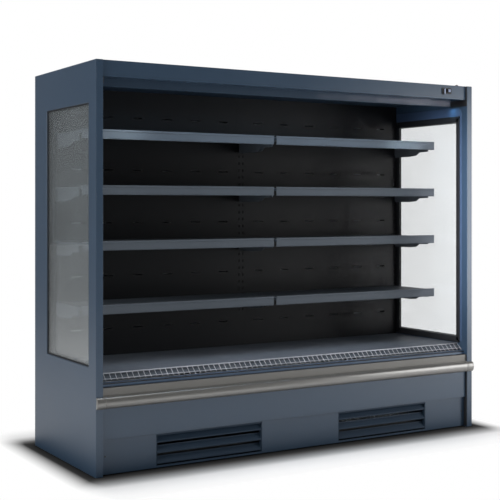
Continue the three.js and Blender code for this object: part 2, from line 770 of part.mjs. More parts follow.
function kickPanel() {
  const y = FRONT + KICK_SETBACK;
  const [z0, z1] = [KICK_BOTTOM, FRONT_PANEL_BOTTOM];
  const back = y + KICK_RETURN;
  const profile = prismX(
    shapeOf([
      [y, z0], [back, z0], [back, z0 + SHEET], [y + SHEET, z0 + SHEET],
      [y + SHEET, z1 - SHEET], [back, z1 - SHEET], [back, z1], [y, z1],
    ]),
    -FILL,
    FILL,
  );
  const opening = (x) => box(x - LOUVRE_WIDTH / 2, x + LOUVRE_WIDTH / 2, y - 1, y + SHEET + 1,
    LOUVRE_BOTTOM, LOUVRE_TOP);
  return cut(profile, opening(-LOUVRE_X), opening(LOUVRE_X));
}

// A rim clipped behind the kick panel, with slanting blades that fill its opening.
function louvreGrille(side) {
  const y = FRONT + KICK_SETBACK + SHEET + FIT;
  const [w, rim] = [LOUVRE_WIDTH / 2, LOUVRE_RIM];
  const bottom = LOUVRE_BOTTOM - rim / 2;
  const top = LOUVRE_TOP + rim / 2;
  const hole = rectanglePoints(-w + rim, w - rim, bottom + rim, top - 2 * rim);
  const outline = rectanglePoints(-w - rim / 2, w + rim / 2, bottom, top);
  const frame = plate(prismY, outline, [hole], y, y + SHEET);
  const pitch = (LOUVRE_TOP - LOUVRE_BOTTOM) / LOUVRE_BLADES;
  const blades = Array.from({ length: LOUVRE_BLADES }, (_, i) => {
    const z = LOUVRE_BOTTOM + BLADE_FOOT + i * pitch;
    const front = y - SHEET / 2;
    const back = front + BLADE_LEAN;
    const crest = z + pitch - BLADE_GAP;
    return prismX(
      shapeOf([
        [front, z], [front + SHEET, z], [front + SHEET, z + BLADE_LIP],
        [back + SHEET, crest - BLADE_CREST], [back + SHEET, crest], [back, crest],
        [back, crest - BLADE_CREST], [front, z + BLADE_LIP],
      ]),
      -w + rim - 1,
      w - rim + 1,
    );
  });
  const cheek = (x) => box(x, x + SHEET, y, y + BLADE_LEAN, bottom + rim - 1, top - rim + 1);
  const grille = join(frame, ...blades, cheek(-w + rim - SHEET), cheek(w - rim));
  return grille.translate(side * LOUVRE_X, 0, 0);
}

// ---- Base frame on levelling feet ----
function baseFrame() {
  const tube = FRAME_TUBE;
  const [z0, z1] = [FRAME_LIFT, FRAME_TOP];
  const y0 = FRONT + FRAME_SETBACK;
  const y1 = REAR_FACE - FIT;
  const rail = (y) => box(-FILL, FILL, y, y + tube, z0, z1);
  const crossings = [-FILL, -tube / 2, FILL - tube];
  const cross = (x) => box(x, x + tube, y0 + 1, y1 - 1, z0, z1);
  const post = (x, y) => box(x, x + tube, y, y + tube, z1 - 1, TUB_BOTTOM - FIT);
  const posts = crossings.flatMap((x) => [post(x, y0), post(x, y1 - tube)]);
  const plate = box(0, FILL - 1, y0 + 1, y1 - 1, z1 - MACHINE_PLATE, z1);
  const foot = (x, y) => turned([
    [0, 0], [FOOT_RADIUS, 0], [FOOT_RADIUS, FOOT_PAD], [FOOT_STEM, FOOT_PAD],
    [FOOT_STEM, z0 + 1], [0, z0 + 1],
  ], 10).translate(x, y, 0);
  const columns = [-INNER + FOOT_FROM_END, 0, INNER - FOOT_FROM_END];
  const feet = columns.flatMap((x) => [foot(x, y0 + tube / 2), foot(x, y1 - tube / 2)]);
  return join(rail(y0), rail(y1 - tube), ...crossings.map(cross), ...posts, plate, ...feet);
}

// ---- Fans ----
const BLADE_SWEEP = Math.PI / FAN_BLADES - BLADE_SPACE;
const BLADE_ANGLE = THREE.MathUtils.degToRad(FAN_PITCH);
const bladeReach = (radius) => radius * Math.sin(BLADE_SWEEP) * Math.sin(BLADE_ANGLE) + SHEET;

// A cupped hub with pitched blades, turning about Z with its open end upwards.
function fanRotor(radius) {
  const hub = radius * 0.32;
  const bore = SHAFT_RADIUS + FIT;
  const half = FAN_DEPTH / 2;
  const parts = [turned([
    [0, -half], [hub, -half], [hub, half], [bore, half], [bore, -half + 5], [0, -half + 5],
  ])];
  for (let i = 0; i < FAN_BLADES; i++) {
    const blade = new THREE.Shape();
    blade.absarc(0, 0, radius, -BLADE_SWEEP, BLADE_SWEEP, false);
    blade.absarc(0, 0, hub - 3, BLADE_SWEEP, -BLADE_SWEEP, true);
    const pitched = extrude(blade, SHEET, 5).translate(0, 0, -SHEET / 2);
    pitched.rotateX(BLADE_ANGLE);
    parts.push(pitched.rotateZ((i * 2 * Math.PI) / FAN_BLADES));
  }
  return join(...parts);
}

// A motor on four bars behind a fan of this radius. The fan's plate has its back face at
// z = 0, and the shaft points down through it.
function motorMount(radius) {
  const ring = radius + FAN_RUNNING_GAP;
  const seat = bladeReach(radius) + FAN_RUNNING_GAP;
  const parts = [
    cylinder(MOTOR_RADIUS, seat, seat + MOTOR_LENGTH),
    cylinder(SHAFT_RADIUS, -FAN_DEPTH / 2 + 5 + FIT, seat + 1, 12),
  ];
  for (let i = 0; i < 4; i++) {
    const b = SPIDER_BAR;
    const arm = box(MOTOR_RADIUS - 4, ring + b, -b / 2, b / 2, seat + 2, seat + 6);
    const leg = box(ring, ring + b, -b / 2, b / 2, -1, seat + 6);
    parts.push(arm.rotateZ(((i + 0.5) * Math.PI) / 2), leg.rotateZ(((i + 0.5) * Math.PI) / 2));
  }
  return parts;
}

// Turns a fan or motor about Z so that its axis lies along Y, at (x, y, z).
function layAlongY(geometry, x, y, z) {
  return geometry.rotateX(-Math.PI / 2).translate(x, y, z);
}

// ---- Cooling in the tub ----
const PLATE_Y = FRONT + FAN_PLATE_SETBACK;
const EVAP_FAN_Z = (TUB_FLOOR + DECK_UNDER) / 2;

function fanPlate() {
  const [z0, z1] = [TUB_FLOOR + FIT, DECK_UNDER - FIT];
  const fanX = [-EVAP_FAN_FROM_MIDDLE, EVAP_FAN_FROM_MIDDLE];
  const radius = EVAP_FAN_RADIUS + FAN_RUNNING_GAP;
  const rings = fanX.map((x) => circlePoints(x, EVAP_FAN_Z, radius, 20));
  const outline = rectanglePoints(-FILL, FILL, z0, z1);
  const upright = plate(prismY, outline, rings, PLATE_Y, PLATE_Y + SHEET);
  const cover = box(-FILL, FILL, PLATE_Y, DUCT_FACE - FIT, z1 - SHEET, z1);
  const motors = fanX.flatMap((x) => motorMount(EVAP_FAN_RADIUS).map(
    (piece) => layAlongY(piece, x, PLATE_Y + SHEET, EVAP_FAN_Z),
  ));
  return join(upright, cover, ...motors);
}

function evaporatorFan(side) {
  return layAlongY(fanRotor(EVAP_FAN_RADIUS), side * EVAP_FAN_FROM_MIDDLE,
    PLATE_Y + SHEET, EVAP_FAN_Z);
}

// A fin block: plates side by side on a spine, drawn in plan.
function finBlock(x0, x1, y0, y1, spine, pitch, thick) {
  const points = [[x0, y0]];
  const count = Math.floor((x1 - x0 - thick) / pitch);
  const step = (x1 - x0 - thick) / count;
  for (let i = 0; i < count; i++) {
    const x = x0 + thick + i * step;
    points.push([x, y0], [x, y1 - spine], [x + step - thick, y1 - spine], [x + step - thick, y0]);
  }
  points.push([x1, y0], [x1, y1], [x0, y1]);
  return shapeOf(points);
}

// A half turn of tube from z = -span/2 to +span/2, bulging towards +X, with its feet on x = 0.
function returnBend(span) {
  const arc = new THREE.EllipseCurve(0, 0, span / 2, span / 2, -Math.PI / 2, Math.PI / 2);
  const path = new THREE.CatmullRomCurve3(arc.getPoints(6).map(
    (p) => new THREE.Vector3(p.x, 0, p.y),
  ));
  const section = shapeOf(circlePoints(0, 0, COIL_TUBE, 6));
  return new THREE.ExtrudeGeometry(section, { steps: 6, bevelEnabled: false, extrudePath: path });
}

function evaporatorCoil() {
  const half = INNER - EVAP_END_GAP;
  const y0 = FRONT + EVAP_SETBACK;
  const z0 = TUB_FLOOR + FIT;
  const fins = finBlock(-half, half, y0, y0 + EVAP_DEPTH, EVAP_SPINE, EVAP_FIN_PITCH,
    EVAP_FIN_THICK);
  const block = prismZ(fins, z0, z0 + EVAP_HEIGHT);
  const rows = evenly(4, z0, z0 + EVAP_HEIGHT);
  const columns = evenly(2, y0, y0 + EVAP_DEPTH);
  const bend = (x, y, row) => returnBend(rows[row + 1] - rows[row])
    .rotateZ(x < 0 ? Math.PI : 0).translate(x, y, (rows[row] + rows[row + 1]) / 2);
  const bends = columns.flatMap((y) => [
    bend(half - 1, y, 0), bend(half - 1, y, 2), bend(1 - half, y, 1),
  ]);
  return join(block, ...bends);
}

// ---- Condensing unit in the base ----
const COND_Z = FRAME_TOP + FIT + COND_HEIGHT / 2;
const SHROUD_BACK = FRONT + COND_SETBACK + COND_DEPTH + SHROUD_DEPTH;

function condenserCoil() {
  const w = COND_WIDTH / 2;
  const y0 = FRONT + COND_SETBACK;
  const y1 = y0 + COND_DEPTH;
  const [z0, z1] = [COND_Z - COND_HEIGHT / 2, COND_Z + COND_HEIGHT / 2];
  const fins = prismZ(finBlock(-w, w, y0, y1, COND_SPINE, COND_FIN_PITCH, COND_FIN_THICK), z0, z1);
  const shell = box(-w, w, y1 - 1, SHROUD_BACK, z0, z1);
  const inside = box(-w + SHEET, w - SHEET, y1 + SHEET, SHROUD_BACK - SHEET,
    z0 + SHEET, z1 - SHEET);
  const radius = COND_FAN_RADIUS + FAN_RUNNING_GAP;
  const hole = prismY(shapeOf(circlePoints(0, COND_Z, radius, 24)), SHROUD_BACK - 20,
    SHROUD_BACK + 1);
  const motor = motorMount(COND_FAN_RADIUS).map(
    (piece) => layAlongY(piece, 0, SHROUD_BACK, COND_Z),
  );
  const unit = join(fins, cut(shell, inside, hole), ...motor);
  return unit.translate(LOUVRE_X, 0, 0);
}

function condenserFan() {
  return layAlongY(fanRotor(COND_FAN_RADIUS), LOUVRE_X, SHROUD_BACK, COND_Z);
}

function compressor() {
  const r = COMPRESSOR_RADIUS;
  const lift = 14;
  const top = COMPRESSOR_HEIGHT;
  const seam = lift + (top - lift) * 0.42;
  const shell = turned([
    [0, lift], [r * 0.7, lift], [r * 0.95, lift + 16], [r * 0.95, seam - 4], [r, seam - 4],
    [r, seam + 4], [r * 0.95, seam + 4], [r * 0.93, top - 42], [r * 0.78, top - 15],
    [r * 0.45, top - 3], [0, top],
  ], 18);
  const plate = box(-r, r, -r * 0.75, r * 0.75, lift - 4, lift + 1);
  const corners = [[-1, -1], [1, -1], [1, 1], [-1, 1]];
  const grommets = corners.map(([i, j]) => cylinder(11, 0, lift - 3, 10)
    .translate(i * r * 0.85, j * r * 0.6, 0));
  const terminals = box(-28, 28, -r - 18, -r * 0.8, seam - 40, seam + 24);
  const stub = (x, y, z) => cylinder(6, seam, z, 8).translate(x, y, 0);
  const shape = join(shell, plate, ...grommets, terminals, stub(r, 25, top - 20),
    stub(r, -25, top + 5));
  return shape.translate(COMPRESSOR_X, FRONT + COMPRESSOR_SETBACK, FRAME_TOP + FIT);
}

// ---- Assembly ----
const SIDES = [["left", -1], ["right", 1]];

function buildCase() {
  for (const [name, side] of SIDES) {
    place(`${name}_end_panel`, endPanel(side), PAINT);
    place(`${name}_window_glass`, windowGlass(side), GLASS);
  }
  place("rear_panel", rearPanel(), FOAM_SKIN);
  place("roof_panel", roofPanel(), PAINT);
  place("insulated_tub", insulatedTub(), PAINT);
  place("base_frame", baseFrame(), BLACK_STEEL);
}

function buildCanopy() {
  place("canopy_fascia", canopyFascia(), PAINT);
  place("canopy_valance", canopyValance(), DARK_PAINT);
  place("air_honeycomb", airHoneycomb(), BLACK_PLASTIC);
  place("canopy_light", canopyLight(), LAMP);
  place("temperature_controller", temperatureController(), BLACK_PLASTIC);
  place("light_switch_rocker", lightSwitchRocker(), BLACK_PLASTIC);
  place("roof_gland", roofGland(), BLACK_PLASTIC);
}

function buildDuct() {
  const c = CENTRE_UPRIGHT_WIDTH / 2;
  const e = FILL - END_UPRIGHT_WIDTH;
  place("left_upright", upright(-FILL, -e, [-OUTER_SLOT_X]), DARK_PAINT);
  place("centre_upright", upright(-c, c, [-INNER_SLOT_X, INNER_SLOT_X]), DARK_PAINT);
  place("right_upright", upright(e, FILL, [OUTER_SLOT_X]), DARK_PAINT);
  for (const [name, side] of SIDES) place(`${name}_duct_panel`, ductPanel(side), DARK_PAINT);
}

function buildShelves() {
  shelfTops().forEach((top, level) => {
    for (const [name, side] of SIDES) {
      const shelf = `${name}_shelf_${level + 1}`;
      const columns = [INNER_SLOT_X * side, OUTER_SLOT_X * side].sort((a, b) => a - b);
      place(`${shelf}_tray`, shelfTray(side, top), SHELF_PAINT);
      place(`${shelf}_left_bracket`, shelfBracket(columns[0], top), SHELF_PAINT);
      place(`${shelf}_right_bracket`, shelfBracket(columns[1], top), SHELF_PAINT);
    }
  });
}

function buildFrontEdge() {
  for (const [name, side] of SIDES) place(`${name}_deck_tray`, deckTray(side), SHELF_PAINT);
  place("return_air_grille", returnAirGrille(), SHELF_PAINT);
  place("front_trim", frontTrim(), WARM_METAL);
  place("bumper_rail", bumperRail(), WARM_METAL);
  place("front_panel", frontPanel(), PAINT);
  place("kick_panel", kickPanel(), PAINT);
  for (const [name, side] of SIDES) place(`${name}_louvre_grille`, louvreGrille(side), PAINT);
}

function buildCooling() {
  place("fan_plate", fanPlate(), STEEL);
  for (const [name, side] of SIDES) {
    place(`${name}_evaporator_fan`, evaporatorFan(side), BLACK_PLASTIC);
  }
  place("evaporator_coil", evaporatorCoil(), STEEL);
  place("condenser_coil", condenserCoil(), COPPER);
  place("condenser_fan", condenserFan(), BLACK_PLASTIC);
  place("compressor", compressor(), BLACK_STEEL);
}

buildCase();
buildCanopy();
buildDuct();
buildShelves();
buildFrontEdge();
buildCooling();

export default fridge;
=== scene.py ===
"""Looks of an open multideck display fridge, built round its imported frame.

Metres, with X along the case, Y from the shopper's side to the back, and Z up from the floor.
"""

import json
import math
from contextlib import contextmanager

import bmesh
import bpy
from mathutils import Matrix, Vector

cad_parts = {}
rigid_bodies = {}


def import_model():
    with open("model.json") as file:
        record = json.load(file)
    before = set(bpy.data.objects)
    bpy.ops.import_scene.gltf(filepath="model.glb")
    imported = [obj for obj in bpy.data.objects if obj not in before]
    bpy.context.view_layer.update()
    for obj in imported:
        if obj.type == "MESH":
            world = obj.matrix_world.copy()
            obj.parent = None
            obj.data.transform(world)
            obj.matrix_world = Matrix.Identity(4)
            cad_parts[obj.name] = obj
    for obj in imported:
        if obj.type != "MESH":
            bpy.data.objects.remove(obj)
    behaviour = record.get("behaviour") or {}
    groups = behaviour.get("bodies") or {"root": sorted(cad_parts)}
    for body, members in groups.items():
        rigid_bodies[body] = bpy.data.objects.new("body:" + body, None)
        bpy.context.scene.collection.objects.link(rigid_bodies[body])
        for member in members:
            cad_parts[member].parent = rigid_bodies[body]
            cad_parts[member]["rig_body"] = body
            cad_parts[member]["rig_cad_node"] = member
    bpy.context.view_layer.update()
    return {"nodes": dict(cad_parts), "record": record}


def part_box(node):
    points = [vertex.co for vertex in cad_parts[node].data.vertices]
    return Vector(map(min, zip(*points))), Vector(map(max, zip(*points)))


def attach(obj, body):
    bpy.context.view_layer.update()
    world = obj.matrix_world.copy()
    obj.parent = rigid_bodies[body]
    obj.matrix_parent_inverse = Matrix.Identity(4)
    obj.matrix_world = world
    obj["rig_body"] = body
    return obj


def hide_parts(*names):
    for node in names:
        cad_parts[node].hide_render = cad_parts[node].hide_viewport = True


bl_info = {
    "name": "Open multideck display fridge",
    "version": (1, 0, 0),
    "blender": (4, 5, 0),
    "location": "View3D > Sidebar > Fridge",
    "description": "Builds the finishes and fine parts of a multideck display fridge",
    "category": "Object",
}

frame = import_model()
NODES = frame["nodes"]
# The lift-out pieces stop here, clear of the frames round the windows.
CLEAR_END = 1.2085
# The camera as solved from the photograph's corners, its turn in degrees.
CAMERA_PLACE = (-3.4016, -5.4907, 1.3667)
CAMERA_TURN = -31.08
CAMERA_AIM = (0.516, 0.857, 0.0)
CAMERA_LENS = 78.42
CAMERA_RISE = -0.0896
SIDES = (("left", -1), ("right", 1))
SHELVES = tuple(f"{side}_shelf_{number}" for number in (1, 2, 3, 4) for side, _ in SIDES)
BODIES_OF = {name: node["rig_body"] for name, node in NODES.items()}


def srgb(red, green, blue):
    """The linear colour of a screen colour that is given from 0 to 255."""

    def linear(level):
        share = level / 255
        return share / 12.92 if share <= 0.04045 else ((share + 0.055) / 1.055) ** 2.4

    return (linear(red), linear(green), linear(blue))


# ---- What a user would change ----
def colour_property(name, description, *level):
    """A colour that is given by its screen levels."""
    return bpy.props.FloatVectorProperty(
        name=name, description=description, default=srgb(*level),
        subtype="COLOR", size=3, min=0, max=1,
    )


def length_property(name, description, default):
    return bpy.props.FloatProperty(
        name=name, description=description, default=default, min=0, unit="LENGTH"
    )


class FridgeColours(bpy.types.PropertyGroup):
    case_paint: colour_property("Case paint", "Blue-grey paint of the outer panels", 45, 63, 82)
    rear_skin: colour_property("Rear skin", "Plastic-faced sheet of the back", 150, 155, 158)
    tub_paint: colour_property("Tub paint", "Deep blue coat of the tub and its lip", 48, 72, 98)
    liner_paint: colour_property("Liner paint", "Light blue coat round the windows", 62, 81, 109)
    shelf_paint: colour_property("Shelf paint", "Anthracite powder coat of the trays", 79, 85, 92)
    inner_paint: colour_property("Inner paint", "Near-black paint of the inside", 15, 17, 20)
    rubber: colour_property("Rubber", "Gaskets round the end windows", 14, 18, 24)
    plastic: colour_property("Plastic", "Black moulded fittings", 16, 17, 19)
    rail: colour_property("Rail", "Warm grey of the bumper and trim", 101, 100, 97)
    zinc: colour_property("Zinc", "Bright plating of the wire grille", 158, 161, 166)
    galvanised: colour_property("Galvanised", "Zinc-coated sheet in tub and base", 165, 170, 174)
    copper: colour_property("Copper", "Refrigerant pipes", 186, 112, 78)
    lamp: colour_property("Lamp", "Light of the canopy tube", 205, 228, 255)
    glass: colour_property("Glass", "Tint of the end windows", 214, 226, 232)
    black_steel: colour_property("Black steel", "Enamel of frame and compressor", 22, 23, 25)
    fin_metal: colour_property("Fin metal", "Thin aluminium fins of the coils", 178, 182, 186)
    display_glass: colour_property("Display glass", "Dark gloss window of the controller", 8, 9, 14)


class FridgeSizes(bpy.types.PropertyGroup):
    panel_edge: length_property("Panel edge", "Radius on the edges of the thick panels", 0.0025)
    sheet_edge: length_property("Sheet edge", "Radius on the edges of folded sheet", 0.0005)
    gasket: length_property("Gasket", "Width of the rubber round an end window", 0.008)
    window_corner: length_property("Window corner", "Radius in the corners of an end window", 0.009)
    pane: length_property("Pane", "Thickness of one pane of glass", 0.004)


# ---- Shader maths ----
class Value:
    """A socket that takes part in shader maths written as Python."""

    def __init__(self, sheet, socket):
        self.sheet = sheet
        self.socket = socket

    def _math(self, operation, first, second):
        return self.sheet.node("ShaderNodeMath", {"operation": operation}, {0: first, 1: second})

    def __add__(self, other):
        return self._math("ADD", self, other)

    def __sub__(self, other):
        return self._math("SUBTRACT", self, other)

    def __rsub__(self, other):
        return self._math("SUBTRACT", other, self)

    def __mul__(self, other):
        return self._math("MULTIPLY", self, other)

    def __truediv__(self, other):
        return self._math("DIVIDE", self, other)

    def __pow__(self, other):
        return self._math("POWER", self, other)

    def at_most(self, other):
        return self._math("MINIMUM", self, other)

    def at_least(self, other):
        return self._math("MAXIMUM", self, other)

    def size(self):
        return self._math("ABSOLUTE", self, 0.0)

    __radd__ = __add__
    __rmul__ = __mul__


class NodeSheet:
    """A node tree that is written as expressions."""

    def __init__(self, tree):
        self.tree = tree
        tree.nodes.clear()

    def node(self, kind, settings=None, inputs=None, output=0):
        made = self.tree.nodes.new(kind)
        for name, value in (settings or {}).items():
            if name == "stops":
                self._set_stops(made.color_ramp, value)
            else:
                setattr(made, name, value)
        for key, value in (inputs or {}).items():
            self.feed(made.inputs[key], value)
        return Value(self, made.outputs[output])

    def feed(self, socket, value):
        if isinstance(value, Value):
            self.tree.links.new(value.socket, socket)
        else:
            socket.default_value = value

    @staticmethod
    def _set_stops(ramp, stops):
        while len(ramp.elements) < len(stops):
            ramp.elements.new(0.5)
        for element, (position, level) in zip(ramp.elements, stops):
            element.position = position
            colour = (level,) * 3 if isinstance(level, (int, float)) else level
            element.color = (*colour, 1)

    def ramp(self, value, *stops):
        return self.node("ShaderNodeValToRGB", {"stops": stops}, {0: value})

    def blend(self, factor, first, second):
        """A mix of two colours; a factor of 0 gives the first."""
        first, second = ((*c, 1) if isinstance(c, tuple) else c for c in (first, second))
        return self.node(
            "ShaderNodeMix", {"data_type": "RGBA"}, {0: factor, 6: first, 7: second}, output=2
        )


class Finish(NodeSheet):
    """A material round one principled shader, patterned on the object's own coordinates."""

    def __init__(self, name, colour, roughness, metallic=0.0, **constants):
        self.material = bpy.data.materials.new(name)
        self.material.use_nodes = True
        super().__init__(self.material.node_tree)
        self.shader = self.tree.nodes.new("ShaderNodeBsdfPrincipled")
        self.output = self.tree.nodes.new("ShaderNodeOutputMaterial")
        self.tree.links.new(self.shader.outputs[0], self.output.inputs[0])
        self.colour = tuple(colour)
        self.set(Base_Color=(*self.colour, 1), Roughness=roughness, Metallic=metallic, **constants)
        self.material.diffuse_color = (*self.colour, 1)
        self.material.roughness = roughness
        self.material.metallic = metallic
        self.place = self.node("ShaderNodeTexCoord", output=3)

    def set(self, **values):
        """Sets or links sockets of the shader; an underscore stands for a space."""
        for name, value in values.items():
            self.feed(self.shader.inputs[name.replace("_", " ")], value)
        return self

    def stretched(self, x, y, z):
        return self.node(
            "ShaderNodeMapping", {"vector_type": "POINT"}, {0: self.place, 3: (x, y, z)}
        )

    def noise(self, scale, detail=2.0, rough=0.5, vector=None):
        pattern = {"Scale": scale, "Detail": detail, "Roughness": rough}
        return self.node("ShaderNodeTexNoise", {}, {"Vector": vector or self.place, **pattern})

    def part(self, axis):
        return self.node("ShaderNodeSeparateXYZ", {}, {0: self.place}, output="XYZ".index(axis))

    def shade(self, factor, spread):
        """The base colour, darker and lighter by a share as factor goes from 0 to 1."""
        dark, light = (tuple(min(1, c * (1 + s)) for c in self.colour) for s in (-spread, spread))
        return self.set(Base_Color=self.blend(factor, dark, light))

    def bump(self, height, strength, distance=0.001):
        inputs = {"Strength": strength, "Distance": distance, "Height": height}
        return self.set(Normal=self.node("ShaderNodeBump", {}, inputs))

    def end_with(self, factor, first, second):
        """Puts a mix of two shaders in the principled shader's place."""
        mix = self.node("ShaderNodeMixShader", {}, {0: factor, 1: first, 2: second})
        self.feed(self.output.inputs[0], mix)
        self.tree.nodes.remove(self.shader)
        return self


# Coats that differ in numbers alone. In order: the colour and the share of it that is used, the
# plain roughness, the clouds in the colour (scale, detail, share), the wear (lowest roughness,
# scale, detail, range), the grain (scale, detail, strength), and further values of the shader.
# Settings of the darkened copies of the case's paint, which carry painted shade
PAINTED_SHADE_COAT = (0.5, (3, 3, 0.06), (0.44, 8, 2, 0.12), (420, 2, 0.05), {"Specular_IOR_Level": 0.2})
COATS = {
    # The case's paint darkened to 0.8 of its colour as painted shade for folded parts that stand in
    # shade, and to 0.62 as deeper painted shade on the louvres
    "shade_paint": ("case_paint", 0.8, *PAINTED_SHADE_COAT),
    "louvre_paint": ("case_paint", 0.62, *PAINTED_SHADE_COAT),
    # Smooth gel coat of the insulated tub
    "tub_paint": ("tub_paint", 1, 0.35, (5, 3, 0.06), (0.3, 17, 2, 0.1), (90, 2, 0.04), {}),
    # Gloss coat of the lining round the windows
    "liner_paint": ("liner_paint", 1, 0.3, (6, 3, 0.05), (0.26, 19, 2, 0.08), (120, 2, 0.03), {}),
    # Powder coat, pebbled at a millimetre
    "shelf_paint": (
        "shelf_paint", 1, 0.5, (6, 4, 0.07), (0.44, 14, 3, 0.14), (900, 1, 0.08),
        {"Specular_IOR_Level": 0.06},
    ),
    "inner_paint": (
        "inner_paint", 1, 0.42, (4, 3, 0.1), (0.36, 11, 2, 0.14), (800, 1, 0.08),
        {"Specular_IOR_Level": 0.12},
    ),
    # Matt gasket rubber, and moulded plastic with a fine spark texture
    "rubber": ("rubber", 1, 0.7, (30, 3, 0.2), None, (700, 2, 0.15), {}),
    "plastic": ("plastic", 1, 0.45, (20, 2, 0.15), (0.4, 50, 2, 0.12), (1400, 1, 0.12), {}),
    # Bright plating on wire
    "zinc": ("zinc", 1, 0.42, (40, 3, 0.1), (0.38, 90, 2, 0.12), None, {"metallic": 0.6}),
    "black_steel": (
        "black_steel", 1, 0.35, (8, 3, 0.2), (0.3, 25, 3, 0.15), (300, 2, 0.06), {}
    ),
    "fin_metal": ("fin_metal", 1, 0.38, (25, 3, 0.12), None, None, {"metallic": 0.9}),
    "display_glass": ("display_glass", 1, 0.08, (60, 1, 0.3), None, None, {}),
}


def plain_coat(name, colours):
    """One of the coats, with noise in its colour, its roughness and its surface."""
    source, share, roughness, clouds, wear, grain, constants = COATS[name]
    colour = tuple(c * share for c in getattr(colours, source))
    made = Finish(name, colour, roughness, **constants)
    made.shade(made.noise(*clouds[:2]), clouds[2])
    if wear:
        made.set(Roughness=wear[0] + made.noise(*wear[1:3]) * wear[3])
    if grain:
        made.bump(made.noise(*grain[:2]), grain[2])
    return made


def case_paint(colours):
    """Sprayed satin paint: fine orange peel, and broad faint clouds."""
    paint = Finish("case_paint", colours.case_paint, 0.3)
    clouds = paint.noise(2.5, 3)
    paint.shade(clouds, 0.05)
    paint.set(Roughness=0.27 + clouds * 0.08)
    return paint.bump(paint.noise(420, 2) + paint.noise(60, 1) * 0.6, 0.05)


def rear_skin(colours):
    """Plastic-faced sheet with a fine leather-like emboss."""
    skin = Finish("rear_skin", colours.rear_skin, 0.5)
    skin.shade(skin.noise(3, 4), 0.05)
    pores = {"Vector": skin.place, "Scale": 260}
    emboss = skin.node("ShaderNodeTexVoronoi", {"feature": "DISTANCE_TO_EDGE"}, pores)
    skin.set(Roughness=0.42 + skin.noise(9, 2) * 0.14)
    return skin.bump(emboss.at_most(0.2) * 4, 0.12)


def drawn_metal(metal, lowest, reach, strength):
    """Gives a metallic coat fine lines along the case."""
    drawn = metal.noise(1, 3, 0.6, metal.stretched(1.5, 500, 500))
    metal.shade(drawn, 0.08)
    metal.set(Roughness=lowest + drawn * reach)
    return metal.bump(drawn, strength, 0.0006)


def rail(colours):
    """Satin metallic coat of the bumper."""
    coat = {"Coat_Weight": 0.8, "Coat_Roughness": 0.24, "Specular_IOR_Level": 0.8}
    return drawn_metal(Finish("rail", colours.rail, 0.3, 0.4, **coat), 0.27, 0.06, 0.06)


def trim_coat(colours):
    """Flatter metallic coat of the trim over the rail."""
    coat = {"Coat_Weight": 0.05, "Coat_Roughness": 0.3, "Specular_IOR_Level": 0.3}
    return drawn_metal(Finish("trim_coat", colours.rail, 0.44, 0.2, **coat), 0.4, 0.1, 0.05)


def galvanised(colours):
    """Zinc-coated sheet with its spangle."""
    sheet = Finish("galvanised", colours.galvanised, 0.42, 0.8)
    flakes = sheet.node("ShaderNodeTexVoronoi", {}, {"Vector": sheet.place, "Scale": 85}, output=1)
    tone = sheet.node("ShaderNodeSeparateColor", {}, {0: flakes})
    sheet.shade(tone, 0.16)
    return sheet.set(Roughness=0.34 + tone * 0.16)


def copper(colours):
    """Drawn copper, slightly tarnished."""
    pipe = Finish("copper", colours.copper, 0.3, 1.0)
    tarnish = pipe.noise(35, 4, 0.6)
    pipe.set(Base_Color=pipe.blend(tarnish, tuple(colours.copper), srgb(120, 70, 52)))
    return pipe.set(Roughness=0.22 + tarnish * 0.2)


def lamp(colours):
    """The lit tube."""
    tube = Finish("lamp", (0.9, 0.95, 1.0), 0.3, Emission_Strength=2.2)
    grain = tube.noise(12, 2)
    return tube.set(Emission_Color=tube.blend(grain, tuple(colours.lamp), (1.0, 1.0, 1.0)))


def window_glass(colours):
    """Thin clear glass: see-through, mirrored at a slant, with a breath of haze."""
    pane = Finish("window_glass", colours.glass, 0.03)
    clear = pane.node("ShaderNodeBsdfTransparent", {}, {0: (0.982, 0.986, 0.988, 1)})
    dust = pane.node("ShaderNodeBsdfDiffuse", {}, {0: (*colours.glass, 1)})
    haze = 0.02 + pane.noise(5, 3) * 0.03
    veil = pane.node("ShaderNodeMixShader", {}, {0: haze, 1: clear, 2: dust})
    gloss = pane.node("ShaderNodeBsdfGlossy", {}, {"Color": (1, 1, 1, 1), "Roughness": 0.03})
    slant = pane.node("ShaderNodeLayerWeight", {}, {"Blend": 0.5}, output=1)
    smudge = pane.noise(3, 4) * 0.02
    return pane.end_with(slant ** 5 * 0.8 + 0.03 + smudge, veil, gloss)


def display_light(colours):
    """Lit figures, and a glowing strip beside the switch that is a painted highlight on the bezel's
    edge, no lamp.
    """
    lit = Finish("display_light", srgb(150, 160, 190), 0.4, Emission_Strength=0.35)
    glow = lit.blend(lit.noise(300, 1), srgb(170, 195, 250), srgb(225, 235, 255))
    return lit.set(Emission_Color=glow)


SPECIAL_FINISHES = {
    maker.__name__: maker
    for maker in (
        case_paint, rear_skin, rail, trim_coat, galvanised, copper, lamp, window_glass,
        display_light,
    )
}
MADE_FINISHES = {}


def finish(name):
    """The material of that name, made the first time that it is asked for."""
    if name not in MADE_FINISHES:
        colours = bpy.context.scene.fridge_colours
        made = plain_coat(name, colours) if name in COATS else SPECIAL_FINISHES[name](colours)
        MADE_FINISHES[name] = made.material
    return MADE_FINISHES[name]


# ---- Modelling ----
def choose(*pieces):
    """Selects these objects alone; the last is active."""
    if bpy.context.mode != "OBJECT":
        bpy.ops.object.mode_set(mode="OBJECT")
    bpy.ops.object.select_all(action="DESELECT")
    for piece in pieces:
        piece.select_set(True)
    bpy.context.view_layer.objects.active = pieces[-1]
    return pieces[-1]


@contextmanager
def editing(piece, kind="FACE"):
    """Edit mode on one piece, with nothing selected to begin with."""
    choose(piece)
    bpy.ops.object.mode_set(mode="EDIT")
    bpy.ops.mesh.select_mode(type=kind)
    bpy.ops.mesh.select_all(action="DESELECT")
    yield
    bpy.ops.object.mode_set(mode="OBJECT")


